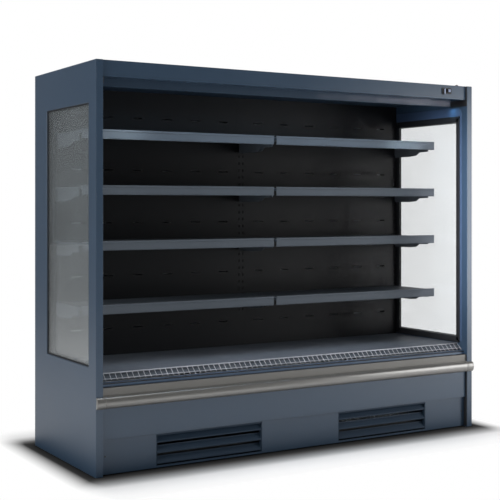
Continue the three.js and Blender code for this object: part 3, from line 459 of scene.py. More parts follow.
def pick(piece, parts, test):
    """Selects, in edit mode, the verts, edges or faces of a piece that pass the test."""
    mesh = bmesh.from_edit_mesh(piece.data)
    for part in getattr(mesh, parts):
        part.select_set(bool(test(part)))
    bmesh.update_edit_mesh(piece.data)


def pick_faces(piece, test):
    """Picks faces by their middle and normal."""
    pick(piece, "faces", lambda face: test(face.calc_center_median(), face.normal))


def pick_vertices(piece, test):
    """Picks vertices by their place."""
    pick(piece, "verts", lambda vertex: test(vertex.co))


def pick_edges(piece, test):
    """Picks edges by the places of their two ends."""
    pick(piece, "edges", lambda edge: test(edge.verts[0].co, edge.verts[1].co))


def pick_all():
    bpy.ops.mesh.select_all(action="SELECT")


def turn_outwards():
    """Makes all faces of the piece in edit mode look outwards."""
    pick_all()
    bpy.ops.mesh.normals_make_consistent(inside=False)


def draw_out(offset):
    """Gives the flat piece in edit mode a thickness."""
    pick_all()
    bpy.ops.mesh.extrude_region_move(TRANSFORM_OT_translate={"value": offset})
    turn_outwards()


def bevel_edges(piece, test, offset, segments):
    """Bevels the edges that pass the test."""
    with editing(piece, "EDGE"):
        pick_edges(piece, test)
        bpy.ops.mesh.bevel(offset=offset, segments=segments, affect="EDGES")


def open_middle(band):
    """Leaves a band of that width round the flat piece in edit mode."""
    pick_all()
    bpy.ops.mesh.inset(thickness=band)
    bpy.ops.mesh.delete(type="FACE")


def named(name):
    piece = bpy.context.view_layer.objects.active
    piece.name = piece.data.name = name
    return piece


def named_as(piece, name):
    choose(piece)
    return named(name)


def settle(piece):
    """Puts the piece's place, turn and size into its mesh."""
    choose(piece)
    bpy.ops.object.transform_apply(location=True, rotation=True, scale=True)
    return piece


def block(name, low, high):
    """A box between two corners, to be shaped further."""
    low, high = Vector(low), Vector(high)
    bpy.ops.mesh.primitive_cube_add(size=1, location=(low + high) / 2)
    piece = named(name)
    piece.scale = high - low
    return settle(piece)


def rod(name, start, end, radius, sides=16, round_end=0.0):
    """A round bar between two points, with its end edges rounded."""
    start, end = Vector(start), Vector(end)
    along = end - start
    bpy.ops.mesh.primitive_cylinder_add(
        vertices=sides,
        radius=radius,
        depth=along.length,
        location=(start + end) / 2,
        rotation=along.to_track_quat("Z", "Y").to_euler(),
    )
    piece = settle(named(name))
    return round_off(piece, round_end, 2, 60) if round_end else piece


def rounded_block(name, low, high, radius, segments=2, angle=60):
    return round_off(block(name, low, high), radius, segments, angle)


def on_side(side, *distances):
    """Distances from the case's middle as places in X on one side of it, in rising order."""
    return sorted(side * distance for distance in distances)


def apply_modifier(piece, kind, **settings):
    """Adds one modifier and applies it."""
    choose(piece)
    modifier = piece.modifiers.new(kind.lower(), kind)
    for name, value in settings.items():
        setattr(modifier, name, value)
    bpy.ops.object.modifier_apply(modifier=modifier.name)
    return piece


def round_off(piece, radius, segments=2, angle=30):
    """Bevels every edge that is sharper than the angle."""
    return apply_modifier(
        piece, "BEVEL", width=radius, segments=segments, limit_method="ANGLE",
        angle_limit=math.radians(angle), use_clamp_overlap=True, miter_outer="MITER_ARC",
    )


def repeat(piece, count, offset):
    """A row of copies, each with its own faces, in one mesh."""
    return apply_modifier(
        piece, "ARRAY", count=count, use_relative_offset=False,
        use_constant_offset=True, constant_offset_displace=offset,
    )


def copied(piece, name, offset):
    choose(piece)
    bpy.ops.object.duplicate()
    copy = named(name)
    copy.location = offset
    return settle(copy)


def joined(name, *pieces):
    choose(*pieces)
    bpy.ops.object.join()
    return named(name)


def around(y, z, *steps):
    """Points of an outline, each some millimetres in Y and Z from one place."""
    return [(y + along / 1000, z + up / 1000) for along, up in steps]


def bar(name, outline, start, end):
    """A bar along X with one closed outline of (y, z) points."""
    bpy.ops.mesh.primitive_circle_add(vertices=len(outline), radius=1, fill_type="NGON")
    piece = settle(named(name))
    for vertex, (y, z) in zip(piece.data.vertices, outline):
        vertex.co = (start, y, z)
    with editing(piece):
        draw_out((end - start, 0, 0))
    return piece


def tube(name, points, radius):
    """A bent pipe that follows these points, with capped ends."""
    bpy.ops.curve.primitive_nurbs_path_add()
    path = bpy.context.view_layer.objects.active
    path.data.splines.clear()
    spline = path.data.splines.new("NURBS")
    spline.points.add(len(points) - 1)
    for point, place in zip(spline.points, points):
        point.co = (*place, 1)
    spline.use_endpoint_u = True
    spline.order_u = 3
    spline.resolution_u = 6
    path.data.dimensions = "3D"
    path.data.bevel_depth = radius
    path.data.bevel_resolution = 4
    path.data.use_fill_caps = True
    path.location = (0, 0, 0)
    choose(path)
    bpy.ops.object.convert(target="MESH")
    return settle(named(name))


def window_ring(name, side, edges, band, corner, depth):
    """A rounded rectangular ring in the plane of an end window; a band of 0 gives a full pane.

    edges are the lowest and highest Y and Z, and depth the two distances from the case's middle.
    """
    y0, y1, z0, z1 = edges
    bpy.ops.mesh.primitive_plane_add(size=1, rotation=(0, math.pi / 2, 0))
    piece = settle(named(name))
    piece.scale = (1, y1 - y0, z1 - z0)
    piece.location = (side * depth[0], (y0 + y1) / 2, (z0 + z1) / 2)
    settle(piece)
    with editing(piece, "VERT"):
        pick_all()
        bpy.ops.mesh.bevel(offset=corner, segments=5, affect="VERTICES")
    with editing(piece):
        if band:
            open_middle(band)
        draw_out((side * (depth[1] - depth[0]), 0, 0))
    return piece


def done(piece, body, slot, look, *stands_for, smooth=35):
    """Smooths a finished piece, paints it and lets it ride on its body."""
    choose(piece)
    bpy.ops.object.shade_smooth_by_angle(angle=math.radians(smooth))
    piece.data.materials.clear()
    piece.data.materials.append(finish(look))
    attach(piece, body)
    if stands_for:
        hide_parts(*stands_for)
    return piece


def moulded(piece, *stands_for, smooth=40):
    """Finishes a black plastic fitting of the case."""
    return done(piece, "case", "black_plastic", "plastic", *stands_for, smooth=smooth)


def softened(node, look, radius, segments=2, angle=30):
    """A copy of a CAD node as one skin, with its edges rounded as a press or a saw leaves them."""
    source = NODES[node]
    choose(source)
    bpy.ops.object.duplicate()
    piece = named(f"{node}_skin")
    del piece["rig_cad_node"]
    with editing(piece):
        pick_all()
        bpy.ops.mesh.remove_doubles(threshold=0.00002)
        if radius:
            bpy.ops.mesh.dissolve_limited(angle_limit=math.radians(0.5))
    if radius:
        round_off(piece, radius, segments, angle)
    done(piece, source["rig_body"], slot_of(node), look, node, smooth=60 if radius else 25)
    if radius:
        apply_modifier(piece, "WEIGHTED_NORMAL", keep_sharp=True, weight=80, mode="FACE_AREA")
    return piece


def slot_of(node):
    subparts = frame["record"]["subparts"]
    return next(part["material_slot"] for part in subparts if part["node"] == node)


def screw(name, centre, facing, radius, height=0.002):
    """A low round screw head with a recess, standing on a face."""
    facing = Vector(facing).normalized()
    top = Vector(centre) + facing * height
    head = round_off(rod(name, centre, top, radius, 20), height * 0.6, 2, 60)

    def on_top(middle, normal):
        return normal.dot(facing) > 0.99 and (middle - top).length < radius

    with editing(head):
        pick_faces(head, on_top)
        bpy.ops.mesh.inset(thickness=radius * 0.35)
        bpy.ops.mesh.inset(thickness=radius * 0.12, depth=-height * 0.4)
    return head


# ---- Pieces ----
class FRIDGE_OT_case(bpy.types.Operator):
    """Softens and paints the case, its front and its base, and adds seals, screws and covers"""

    bl_idname = "fridge.case"
    bl_label = "Case panels"

    def execute(self, context):
        sizes = context.scene.fridge_sizes
        for node in ("left_end_panel", "right_end_panel", "roof_panel"):
            softened(node, "case_paint", sizes.panel_edge, 3)
        softened("rear_panel", "rear_skin", sizes.panel_edge, 3)
        softened("insulated_tub", "tub_paint", sizes.panel_edge, 3)
        for node in ("canopy_fascia", "front_panel", "kick_panel"):
            softened(node, "case_paint", sizes.sheet_edge)
        # The louvres take the case's paint darkened as painted shade.
        for node in ("left_louvre_grille", "right_louvre_grille"):
            softened(node, "louvre_paint", sizes.sheet_edge)
        softened("front_trim", "trim_coat", sizes.sheet_edge)
        softened("base_frame", "black_steel", 0.001)
        self.make_seals()
        self.make_joint_strips()
        self.make_screws()
        self.make_seam_covers()
        return {"FINISHED"}

    @staticmethod
    def front_places():
        """The ends of the front in X, the trim's face in Y and the line over the bumper in Z."""
        start, end = (corner.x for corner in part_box("insulated_tub"))
        return start, end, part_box("front_trim")[0].y + 0.010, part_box("bumper_rail")[1].z + 0.0012

    def make_seals(self):
        """Rubber strips on the lip and over the trim, and a drip edge over the bumper."""
        start, end, trim_y, rail_top = self.front_places()
        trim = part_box("front_trim")
        lip_y, lip_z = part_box("insulated_tub")[0].y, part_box("return_air_grille")[0].z
        lip_seal = around(
            lip_y, lip_z,
            (-0.6, -7.2), (-1.2, -6.4), (-1.2, -1.2), (-0.6, -0.3), (-0.1, -0.3), (-0.1, -7.2),
        )
        trim_seal = (
            *around(trim_y, trim[1].z, (5.2, 0.1), (5.0, 1.2), (5.8, 1.8)),
            *around(lip_y, trim[1].z, (-1.2, 2.2), (-0.1, 2.0), (-0.1, 0.1)),
        )
        drip_edge = (
            *around(trim[0].y, rail_top, (1.2, 0.0), (1.0, 0.8), (1.8, 1.4)),
            *around(trim_y, rail_top, (-1.2, 1.6), (-0.1, 2.0), (-0.1, 0.0)),
        )
        for name, outline, slot, look in (
            ("lip_seal", lip_seal, "black_plastic", "rubber"),
            ("trim_seal", trim_seal, "black_plastic", "rubber"),
            ("bumper_seal", drip_edge, "trim_metal", "trim_coat"),
        ):
            done(bar(name, outline, start, end), "case", slot, look, smooth=50)

    def make_joint_strips(self):
        """Rubber in the joints between the front's pieces and the end panels."""
        _, end, trim_y, rail_top = self.front_places()
        trim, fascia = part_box("front_trim"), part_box("canopy_fascia")
        front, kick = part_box("front_panel"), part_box("kick_panel")
        canopy_y = trim[0].y + 0.0015
        left_depth = 0.004
        for name, side in SIDES:
            strips = []
            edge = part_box(f"{name}_end_panel")[0].y + 0.0015
            x_in, x_out = on_side(side, end - 0.0030, end + 0.0002)
            for first, face, low, high in (
                (canopy_y, fascia[0].y, fascia[0].z + 0.001, fascia[1].z - 0.001),
                (canopy_y, trim_y, rail_top + 0.005, trim[1].z - 0.001),
                (edge, front[0].y, front[0].z, front[1].z - 0.001),
                (edge, kick[0].y, kick[0].z + 0.001, kick[1].z),
            ):
                start_y = first if side > 0 else face - left_depth
                ends = ((x_in, start_y, low), (x_out, face - 0.0002, high))
                strips.append(rounded_block("joint_strip", *ends, 0.0009))
            seal = joined(f"{name}_joint_seal", *strips)
            done(seal, "case", "black_plastic", "rubber", smooth=50)

    @staticmethod
    def make_screws():
        """Screw heads on the kick panel, the roof and the rear panel."""
        kick, roof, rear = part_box("kick_panel"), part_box("roof_panel"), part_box("rear_panel")
        inset, height, edge = 0.0227, 0.097, 0.03
        heads = [
            screw("kick_screw", (x, kick[0].y, height), (0, -1, 0), 0.0048)
            for x in (kick[0].x + inset, kick[1].x - inset)
        ]
        moulded(joined("kick_screws", *heads))
        corner = (roof[0].x + edge, roof[1].y - edge, roof[1].z)
        width, depth = (roof[1] - roof[0]).xy
        head = screw("roof_screw", corner, (0, 0, 1), 0.006)
        row = repeat(head, 7, ((width - 2 * edge) / 6, 0, 0))
        front_row = copied(row, "roof_screw_front", (0, edge * 2 - depth, 0))
        done(joined("roof_screws", row, front_row), "case", "trim_metal", "zinc", smooth=40)
        corner = (rear[0].x + edge, rear[1].y, rear[1].z - edge)
        width, _, height = rear[1] - rear[0]
        head = screw("rear_screw", corner, (0, 1, 0), 0.006)
        column = repeat(head, 5, (0, 0, (2 * edge - height) / 4))
        rows = repeat(column, 5, ((width - 2 * edge) / 4, 0, 0))
        done(named_as(rows, "rear_screws"), "case", "trim_metal", "zinc", smooth=40)

    @staticmethod
    def make_seam_covers():
        """Flat strips over the joints of the rear and roof sheets."""
        rear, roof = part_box("rear_panel"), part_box("roof_panel")
        seam, half, proud = 0.606, 0.02, 0.0015
        for name, slot, look, places, low, high in (
            (
                "rear_seam_covers", "rear_skin", "rear_skin", (-seam, 0.0, seam),
                (rear[1].y, rear[0].z + 0.002), (rear[1].y + proud, rear[1].z - 0.002),
            ),
            (
                "roof_seam_covers", "outer_paint", "case_paint", (-seam, seam),
                (roof[0].y + 0.004, roof[1].z), (roof[1].y - 0.004, roof[1].z + proud),
            ),
        ):
            strips = [
                rounded_block("seam_cover", (x - half, *low), (x + half, *high), 0.0006)
                for x in places
            ]
            done(joined(name, *strips), "case", slot, look, smooth=40)


class FRIDGE_OT_windows(bpy.types.Operator):
    """Makes the sealed glass units of the end windows with their gaskets, frames and liners"""

    bl_idname = "fridge.windows"
    bl_label = "End windows"

    def execute(self, context):
        sizes = context.scene.fridge_sizes
        for name, side in SIDES:
            low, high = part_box(f"{name}_window_glass")
            edges = (low.y, high.y, low.z, high.z)
            inner, outer = sorted((abs(low.x), abs(high.x)))
            wall_in = min(abs(c.x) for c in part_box(f"{name}_end_panel"))
            pane, corner = sizes.pane, sizes.window_corner
            glass, black = "window_glass", "black_plastic"
            for label, band, depth, rounding, slot, look, *stands_for in (
                ("outer_pane", 0, (outer - pane, outer), 0, glass, glass, f"{name}_window_glass"),
                ("inner_pane", 0, (inner, inner + pane), 0, glass, glass),
                ("window_spacer", 0.005, (inner + pane, outer - pane), 0, black, "plastic"),
                ("outer_gasket", sizes.gasket, (outer, outer + 0.004), 0.0012, black, "rubber"),
                ("inner_gasket", 0.004, (wall_in + 0.0005, inner), 0.0008, black, "rubber"),
            ):
                ring = window_ring(f"{name}_{label}", side, edges, band, corner, depth)
                if rounding:
                    round_off(ring, rounding, 2, 40)
                done(ring, "case", slot, look, *stands_for)
            self.make_inner_frame(name, side, edges, wall_in)
            self.make_liner(name, side, edges, wall_in)
        return {"FINISHED"}

    @staticmethod
    def make_liner(name, side, edges, wall):
        """A raised lining above and in front of the inner frame, with one round corner."""
        y0, y1, z0, z1 = edges
        front, top, radius = y0 - 0.050, z1 + 0.087, 0.045
        inner_front, inner_top = y0 - 0.0322, z1 + 0.0322
        corner = [
            (front + radius - radius * math.sin(turn), top - radius + radius * math.cos(turn))
            for turn in (math.pi / 2 * step / 8 for step in range(9))
        ]
        liner = bar(f"{name}_liner", (
            (y1 - 0.0015, top), *corner, (front, z0 - 0.02), (inner_front, z0 - 0.02),
            (inner_front, inner_top), (y1 - 0.0015, inner_top),
        ), *on_side(side, wall - 0.0022, wall - 0.0001))
        done(round_off(liner, 0.0007, 2, 40), "case", "outer_paint", "liner_paint", smooth=40)

    @staticmethod
    def make_inner_frame(name, side, edges, wall):
        """The clamping frame on the inside; its rear limb is narrow, to clear the upright."""
        y0, y1, z0, z1 = edges
        frame_width, overlap, rear = 0.032, 0.002, 0.0015
        outer = (y0 - frame_width, y1 - rear, z0 - frame_width, z1 + frame_width)
        depth = (wall - 0.0025, wall - 0.0001)
        ring = window_ring(f"{name}_inner_frame", side, outer, frame_width + overlap, 0.012, depth)
        limb = y1 - rear - frame_width - overlap

        def on_limb(at):
            return limb - 0.015 < at.y < limb + 0.001 and z0 - 0.005 < at.z < z1 + 0.005

        with editing(ring, "VERT"):
            pick_vertices(ring, on_limb)
            bpy.ops.transform.translate(value=(0, frame_width - 0.005, 0))
        done(round_off(ring, 0.0009, 2, 40), "case", "black_plastic", "rubber")


class FRIDGE_OT_bumper(bpy.types.Operator):
    """Makes the half-round bumper rail and its end caps"""

    bl_idname = "fridge.bumper"
    bl_label = "Bumper rail"

    def execute(self, context):
        low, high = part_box("bumper_rail")
        middle, half = (low.z + high.z) / 2, (high.z - low.z) / 2
        depth = high.y - low.y
        steps, reach_power, rise_power = 20, 0.92, 0.95

        def outline(shrink=0.0):
            points = []
            for step in range(steps + 1):
                turn = math.pi / 2 - math.pi * step / steps
                reach, rise = abs(math.cos(turn)) ** reach_power, math.sin(turn)
                rise = math.copysign(abs(rise) ** rise_power, rise)
                y = high.y - (depth - shrink) * reach
                points.append((y, middle + (half - shrink) * rise))
            return points

        cap, gap = 0.049, 0.0008
        ends = (low.x + cap + gap, high.x - cap - gap)
        rail_piece = bar("bumper_rail_profile", outline(0.0009), *ends)
        done(rail_piece, "case", "trim_metal", "rail", "bumper_rail", smooth=40)
        for name, side in SIDES:
            end_cap = bar(f"{name}_bumper_cap", outline(), *on_side(side, high.x, high.x - cap))
            round_off(end_cap, 0.0015, 3, 60)
            done(end_cap, "case", "trim_metal", "rail", smooth=40)
        return {"FINISHED"}


class FRIDGE_OT_air_grille(bpy.types.Operator):
    """Makes the welded wire grille in front of the deck"""

    bl_idname = "fridge.air_grille"
    bl_label = "Return-air grille"

    def execute(self, context):
        low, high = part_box("return_air_grille")
        low.x, high.x = -CLEAR_END, CLEAR_END
        long_radius, cross_radius = 0.0028, 0.0019
        foot = Vector((0, low.y + long_radius, low.z + long_radius))
        head = Vector((0, high.y - long_radius, high.z - long_radius))
        pieces = []
        for share, radius in ((0.0, 0.0009), (0.31, 0.0021), (1.0, 0.0034)):
            at = foot.lerp(head, share)
            ends = ((low.x, at.y, at.z), (high.x, at.y, at.z))
            pieces.append(rod(f"long_wire_{share}", *ends, radius, 12, 0.0006))
        normal = Vector((0, -(head - foot).z, (head - foot).y)).normalized()
        lift = normal * (long_radius - cross_radius)
        count = 76
        pitch = (high.x - low.x - 2 * cross_radius) / (count - 1)
        first = Vector((low.x + cross_radius, 0, 0)) + lift
        crossing = rod("cross_wire", first + foot, first + head, cross_radius, 10, 0.0005)
        pieces.append(repeat(crossing, count, (pitch, 0, 0)))
        grille = joined("wire_air_grille", *pieces)
        done(grille, "air_grille", "shelf_paint", "zinc", "return_air_grille")
        top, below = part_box("left_deck_tray")[0].y - 0.0014, high.z - 0.0105
        slope = (head - foot) * 0.62
        plate = bar("air_trough_plate", (
            (top, below),
            *around(top - slope.y, below - slope.z, (0, 0), (0, -1.2)),
            *around(top, below, (-0.8, -1.2), (-0.8, -18), (0, -18)),
        ), low.x + 0.001, high.x - 0.001)
        done(plate, "case", "shelf_paint", "shelf_paint", smooth=30)
        return {"FINISHED"}


class FRIDGE_OT_shelves(bpy.types.Operator):
    """Softens and paints the shelf trays, brackets and deck trays, and adds the ticket channels"""

    bl_idname = "fridge.shelves"
    bl_label = "Shelves and deck"

    def execute(self, context):
        sizes = context.scene.fridge_sizes
        for shelf in SHELVES:
            for piece in ("tray", "left_bracket", "right_bracket"):
                softened(f"{shelf}_{piece}", "shelf_paint", sizes.sheet_edge)
        for name, side in SIDES:
            deck = softened(f"{name}_deck_tray", "shelf_paint", sizes.sheet_edge)
            end = max(abs(corner.x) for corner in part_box(f"{name}_deck_tray"))
            with editing(deck, "VERT"):
                pick_vertices(deck, lambda at: abs(at.x) > end - 0.01)
                bpy.ops.transform.translate(value=(side * (CLEAR_END - end), 0, 0))
        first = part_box(f"{SHELVES[0]}_tray")
        face, foot, top = first[0].y + 0.0015, first[0].z + 0.0036, first[1].z - 0.0122
        model = bar("ticket_channel", (
            *around(face, foot, (-0.1, 0), (-1.2, 0), (-1.3, 2.2), (-0.6, 2.6)),
            *around(face, top, (-0.6, -2.4), (-1.2, -2.0), (-1.1, 0), (-0.1, 0)),
        ), 0.002, first[1].x - first[0].x - 0.002)
        base = Vector((0, first[0].y, first[0].z))
        for shelf in SHELVES:
            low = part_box(f"{shelf}_tray")[0]
            piece = copied(model, f"{shelf}_ticket_channel", low - base)
            done(piece, BODIES_OF[f"{shelf}_tray"], "shelf_paint", "shelf_paint", smooth=20)
        bpy.data.objects.remove(model)
        return {"FINISHED"}


class FRIDGE_OT_interior(bpy.types.Operator):
    """Softens and paints the slotted uprights and the rear duct"""

    bl_idname = "fridge.interior"
    bl_label = "Uprights and duct"

    def execute(self, context):
        uprights = (f"{place}_upright" for place in ("left", "centre", "right"))
        for node in (*uprights, "left_duct_panel", "right_duct_panel"):
            softened(node, "inner_paint", 0)
        return {"FINISHED"}


class FRIDGE_OT_canopy(bpy.types.Operator):
    """Finishes the valance and light, and makes the honeycomb, controller and switch collar"""

    bl_idname = "fridge.canopy"
    bl_label = "Canopy fittings"

    def execute(self, context):
        sizes = context.scene.fridge_sizes
        # The valance takes the case's paint darkened as painted shade, for the fascia's shade over
        # it.
        softened("canopy_valance", "shade_paint", sizes.sheet_edge)
        softened("canopy_light", "lamp", 0.0004, 2, 50)
        softened("roof_gland", "plastic", 0.0006)
        softened("light_switch_rocker", "plastic", 0.0007, 3)
        self.make_lamp_holders()
        self.make_honeycomb()
        self.make_controller()
        self.make_switch_surround()
        self.make_end_shade_covers()
        return {"FINISHED"}

    @staticmethod
    def make_end_shade_covers():
        """Black covers on the end panels that close the slot between fascia and valance; their black
        also stands in for the slot's shade, as painted shade.
        """
        fascia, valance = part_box("canopy_fascia"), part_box("canopy_valance")
        wall = min(abs(corner.x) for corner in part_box("right_end_panel"))
        for name, side in SIDES:
            x_in, x_out = on_side(side, wall - 0.0035, wall - 0.0001)
            cover = block(
                f"{name}_canopy_cover",
                (x_in, fascia[0].y - 0.0125, valance[0].z - 0.004),
                (x_out, valance[0].y - 0.001, fascia[0].z - 0.001),
            )

            def lower_front(a, b):
                return abs(a.x - b.x) > 0.002 and a.z < valance[0].z and a.y < fascia[0].y

            bevel_edges(cover, lower_front, 0.008, 4)
            moulded(round_off(cover, 0.0008, 2, 40))

    @staticmethod
    def make_lamp_holders():
        """A moulded cap on each end of the tube, and clips along it."""
        low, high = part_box("canopy_light")
        grow, cap, clip = 0.0025, 0.034, 0.012
        pieces = []
        for name, x, length in (
            ("cap_left", low.x, cap), ("cap_right", high.x - cap, cap),
            ("clip_left", -0.60, clip), ("clip_middle", -0.006, clip), ("clip_right", 0.588, clip),
        ):
            shell = block(
                name, (x, low.y - grow, low.z - grow), (x + length, high.y + grow, high.z - 0.0002)
            )

            def underneath(a, b):
                return a.z < low.z and b.z < low.z and abs(a.x - b.x) > length / 2

            bevel_edges(shell, underneath, 0.014, 5)
            pieces.append(round_off(shell, 0.0012, 2, 50))
        moulded(joined("lamp_holders", *pieces))

    @staticmethod
    def make_honeycomb():
        """Hexagonal cells side by side, framed by a thin strip."""
        low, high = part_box("air_honeycomb")
        columns, rows = 96, 4
        pitch = (high.x - low.x - 0.004) / (columns + 0.5)
        step = pitch * math.sqrt(3) / 2
        side = pitch / math.sqrt(3) * 0.985
        bpy.ops.mesh.primitive_circle_add(vertices=6, radius=side, fill_type="NGON")
        cell = settle(named("air_cell"))
        with editing(cell):
            open_middle(pitch * 0.045)
            draw_out((0, 0, high.z - low.z - 0.001))
        scale = (high.y - low.y - 0.003) / ((rows - 1) * step + pitch * 1.15)
        pair = copied(cell, "air_cell_pair", (pitch / 2, step, 0))
        cells = repeat(joined("air_cells", pair, cell), rows // 2, (0, 2 * step, 0))
        cells = repeat(cells, columns, (pitch, 0, 0))
        cells.scale = (1, scale, 1)
        rim = Vector((0.002 + pitch / 2, 0.0015 + pitch * 0.575 * scale, 0.0005))
        cells.location = low + rim
        settle(cells)
        thick = 0.0012
        strips = [
            rounded_block(
                "honeycomb_strip", (low.x, y, low.z), (high.x, y + thick, high.z), 0.0003, 1
            )
            for y in (low.y, high.y - thick)
        ]
        moulded(joined("honeycomb_cells", *strips, cells), "air_honeycomb", smooth=30)
        edge, top = high.y + 0.0001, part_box("canopy_valance")[1].z + 0.0003
        rest = bar("honeycomb_rest", (
            *around(edge, top, (0, 0), (-1, 0)),
            *around(edge, low.z, (-1, -1), (-9, -1), (-9, 0), (0, 0)),
        ), low.x, high.x)
        # The rest takes the case's paint darkened as painted shade.
        done(rest, "case", "outer_paint", "shade_paint", smooth=30)

    @staticmethod
    def make_controller():
        """A moulded bezel with a dark window, lit figures and a row of keys."""
        low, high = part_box("temperature_controller")
        x, z, y = (low.x + high.x) / 2, (low.z + high.z) / 2, low.y
        bezel = block("controller_bezel", (low.x, y, low.z), (high.x, y + 0.003, high.z))
        with editing(bezel):
            pick_faces(bezel, lambda middle, normal: normal.y < -0.9)
            bpy.ops.mesh.inset(thickness=0.0035)
            bpy.ops.mesh.inset(thickness=0.0006, depth=-0.0012)
        round_off(bezel, 0.0009, 3, 40)
        rim = 0.0022
        housing = rounded_block(
            "controller_housing",
            (low.x + rim, y + 0.0031, low.z + rim), (high.x - rim, high.y, high.z - rim),
            0.001, 2, 40,
        )
        moulded(joined("controller_case", housing, bezel), "temperature_controller")
        glass = rounded_block(
            "controller_glass",
            (low.x + 0.0045, y + 0.0006, z - 0.0065),
            (high.x - 0.0045, y + 0.0014, high.z - 0.0045),
            0.0002, 1,
        )
        done(glass, "case", "black_plastic", "display_glass", smooth=30)
        bars = []
        thick, height, width = 0.0022, 0.0068, 0.0062
        half = thick / 2
        strokes = [(0, width, level - half, level + half) for level in (2 * height, height, 0)]
        strokes.append((width - thick, width, half, 2 * height - half))
        lower_left = (0, thick, half, height)
        for left, figure in ((x + 0.0005, strokes), (x + 0.0098, (*strokes, lower_left))):
            for x0, x1, z0, z1 in figure:
                low_end = (left + x0, y + 0.0002, z - 0.0035 + z0)
                high_end = (left + x1, y + 0.0006, z - 0.0035 + z1)
                bars.append(rounded_block("stroke", low_end, high_end, 0.0001, 1))
        done(joined("controller_figures", *bars), "case", "lamp", "display_light", smooth=30)
        keys = []
        for number in range(4):
            left = low.x + 0.007 + number * 0.0088
            ends = ((left, y + 0.0002, low.z + 0.0050), (left + 0.0058, y + 0.0016, low.z + 0.0085))
            keys.append(rounded_block("key", *ends, 0.0005))
        moulded(joined("controller_keys", *keys))

    @staticmethod
    def make_switch_surround():
        """The rounded collar that the rocker rocks in."""
        low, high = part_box("light_switch_rocker")
        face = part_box("canopy_fascia")[0].y
        x, z = (low.x + high.x) / 2, (low.z + high.z) / 2
        half_x, half_z = 0.0108, 0.0205
        collar = block(
            "switch_collar",
            (x - half_x, face - 0.0016, z - half_z), (x + half_x, face + 0.0002, z + half_z),
        )
        with editing(collar):
            pick_faces(collar, lambda middle, normal: abs(normal.y) > 0.9)
            bpy.ops.mesh.inset(thickness=0.0024)
            bpy.ops.mesh.delete(type="FACE")
            bpy.ops.mesh.select_all(action="DESELECT")
        with editing(collar, "EDGE"):
            pick_edges(collar, lambda a, b: max(abs(a.x - x), abs(b.x - x)) < 0.0092)
            bpy.ops.mesh.bridge_edge_loops()
            turn_outwards()
        moulded(round_off(collar, 0.0006, 2, 40))
        # A glowing strip right of the collar is a painted highlight for the bright edge of the
        # controller's bezel; it is no lamp.
        left = x + half_x + 0.0012
        ends = ((left, face - 0.0012, z - 0.016), (left + 0.005, face - 0.0001, z + 0.016))
        edge_highlight = rounded_block("switch_pilot", *ends, 0.0005, 2, 40)
        done(edge_highlight, "case", "lamp", "display_light", smooth=40)


class FRIDGE_OT_cooling(bpy.types.Operator):
    """Finishes the coils, fans and compressor, and adds fins and pipes"""

    bl_idname = "fridge.cooling"
    bl_label = "Cooling parts"

    def execute(self, context):
        for node, look, radius in (
            ("fan_plate", "galvanised", 0),
            ("evaporator_coil", "fin_metal", 0),
            ("condenser_coil", "galvanised", 0),
            ("left_evaporator_fan", "plastic", 0.0006),
            ("right_evaporator_fan", "plastic", 0.0006),
            ("condenser_fan", "plastic", 0.0006),
            ("compressor", "black_steel", 0.0015),
        ):
            softened(node, look, radius)
        self.make_fins()
        self.make_pipes()
        return {"FINISHED"}

    @staticmethod
    def make_fins():
        """Thin fins that fill the coils between their stout ones."""
        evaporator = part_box("evaporator_coil")
        for node, pitch, ends, depth, height in (
            ("condenser_coil", 0.004, 0.006, 0.050 - 0.010, 0.2),
            ("evaporator_coil", 0.0125, 0.030, evaporator[1].y - evaporator[0].y - 0.032, 0.135),
        ):
            low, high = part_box(node)
            count = int((high.x - low.x - 2 * ends) / pitch)
            left = low.x + ends
            fin = block(
                f"{node}_fin", (left, low.y + 0.001, low.z + 0.0005),
                (left + 0.0006, low.y + depth, low.z + height - 0.0005),
            )
            bevel_edges(fin, lambda a, b: abs(a.z - b.z) > 0.05, 0.0002, 1)
            fins = named_as(repeat(fin, count, (pitch, 0, 0)), f"{node}_fins")
            done(fins, "case", "condenser_metal", "fin_metal", smooth=30)

    @staticmethod
    def make_pipes():
        """Copper pipes from the compressor to the condenser and up into the tub."""
        low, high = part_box("compressor")
        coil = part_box("condenser_coil")
        outlet = Vector((high.x - 0.006, (low.y + high.y) / 2, high.z))
        inlet = Vector((coil[0].x, coil[1].y, high.z))
        discharge = (
            (outlet, 0, 32, -28), (outlet, 0, 32, 4), (outlet, 12, 30, 16), (outlet, 35, 18, 18),
            (inlet, 10, 30, 18), (inlet, 22, 12, 14), (inlet, 24, 8, -4), (inlet, 24, -4, -30),
        )
        suction = (
            (outlet, 0, -18, -6), (outlet, 0, -18, 10), (outlet, -12, -10, 24),
            (outlet, -40, 60, 26), (outlet, -60, 140, 26), (outlet, -66, 160, 30),
            (outlet, -68, 168, 50),
        )
        for name, radius, route in (
            ("discharge_pipe", 0.0045, discharge), ("suction_pipe", 0.0062, suction)
        ):
            pipe = tube(name, [start + Vector(step) / 1000 for start, *step in route], radius)
            done(pipe, "case", "condenser_metal", "copper", smooth=60)


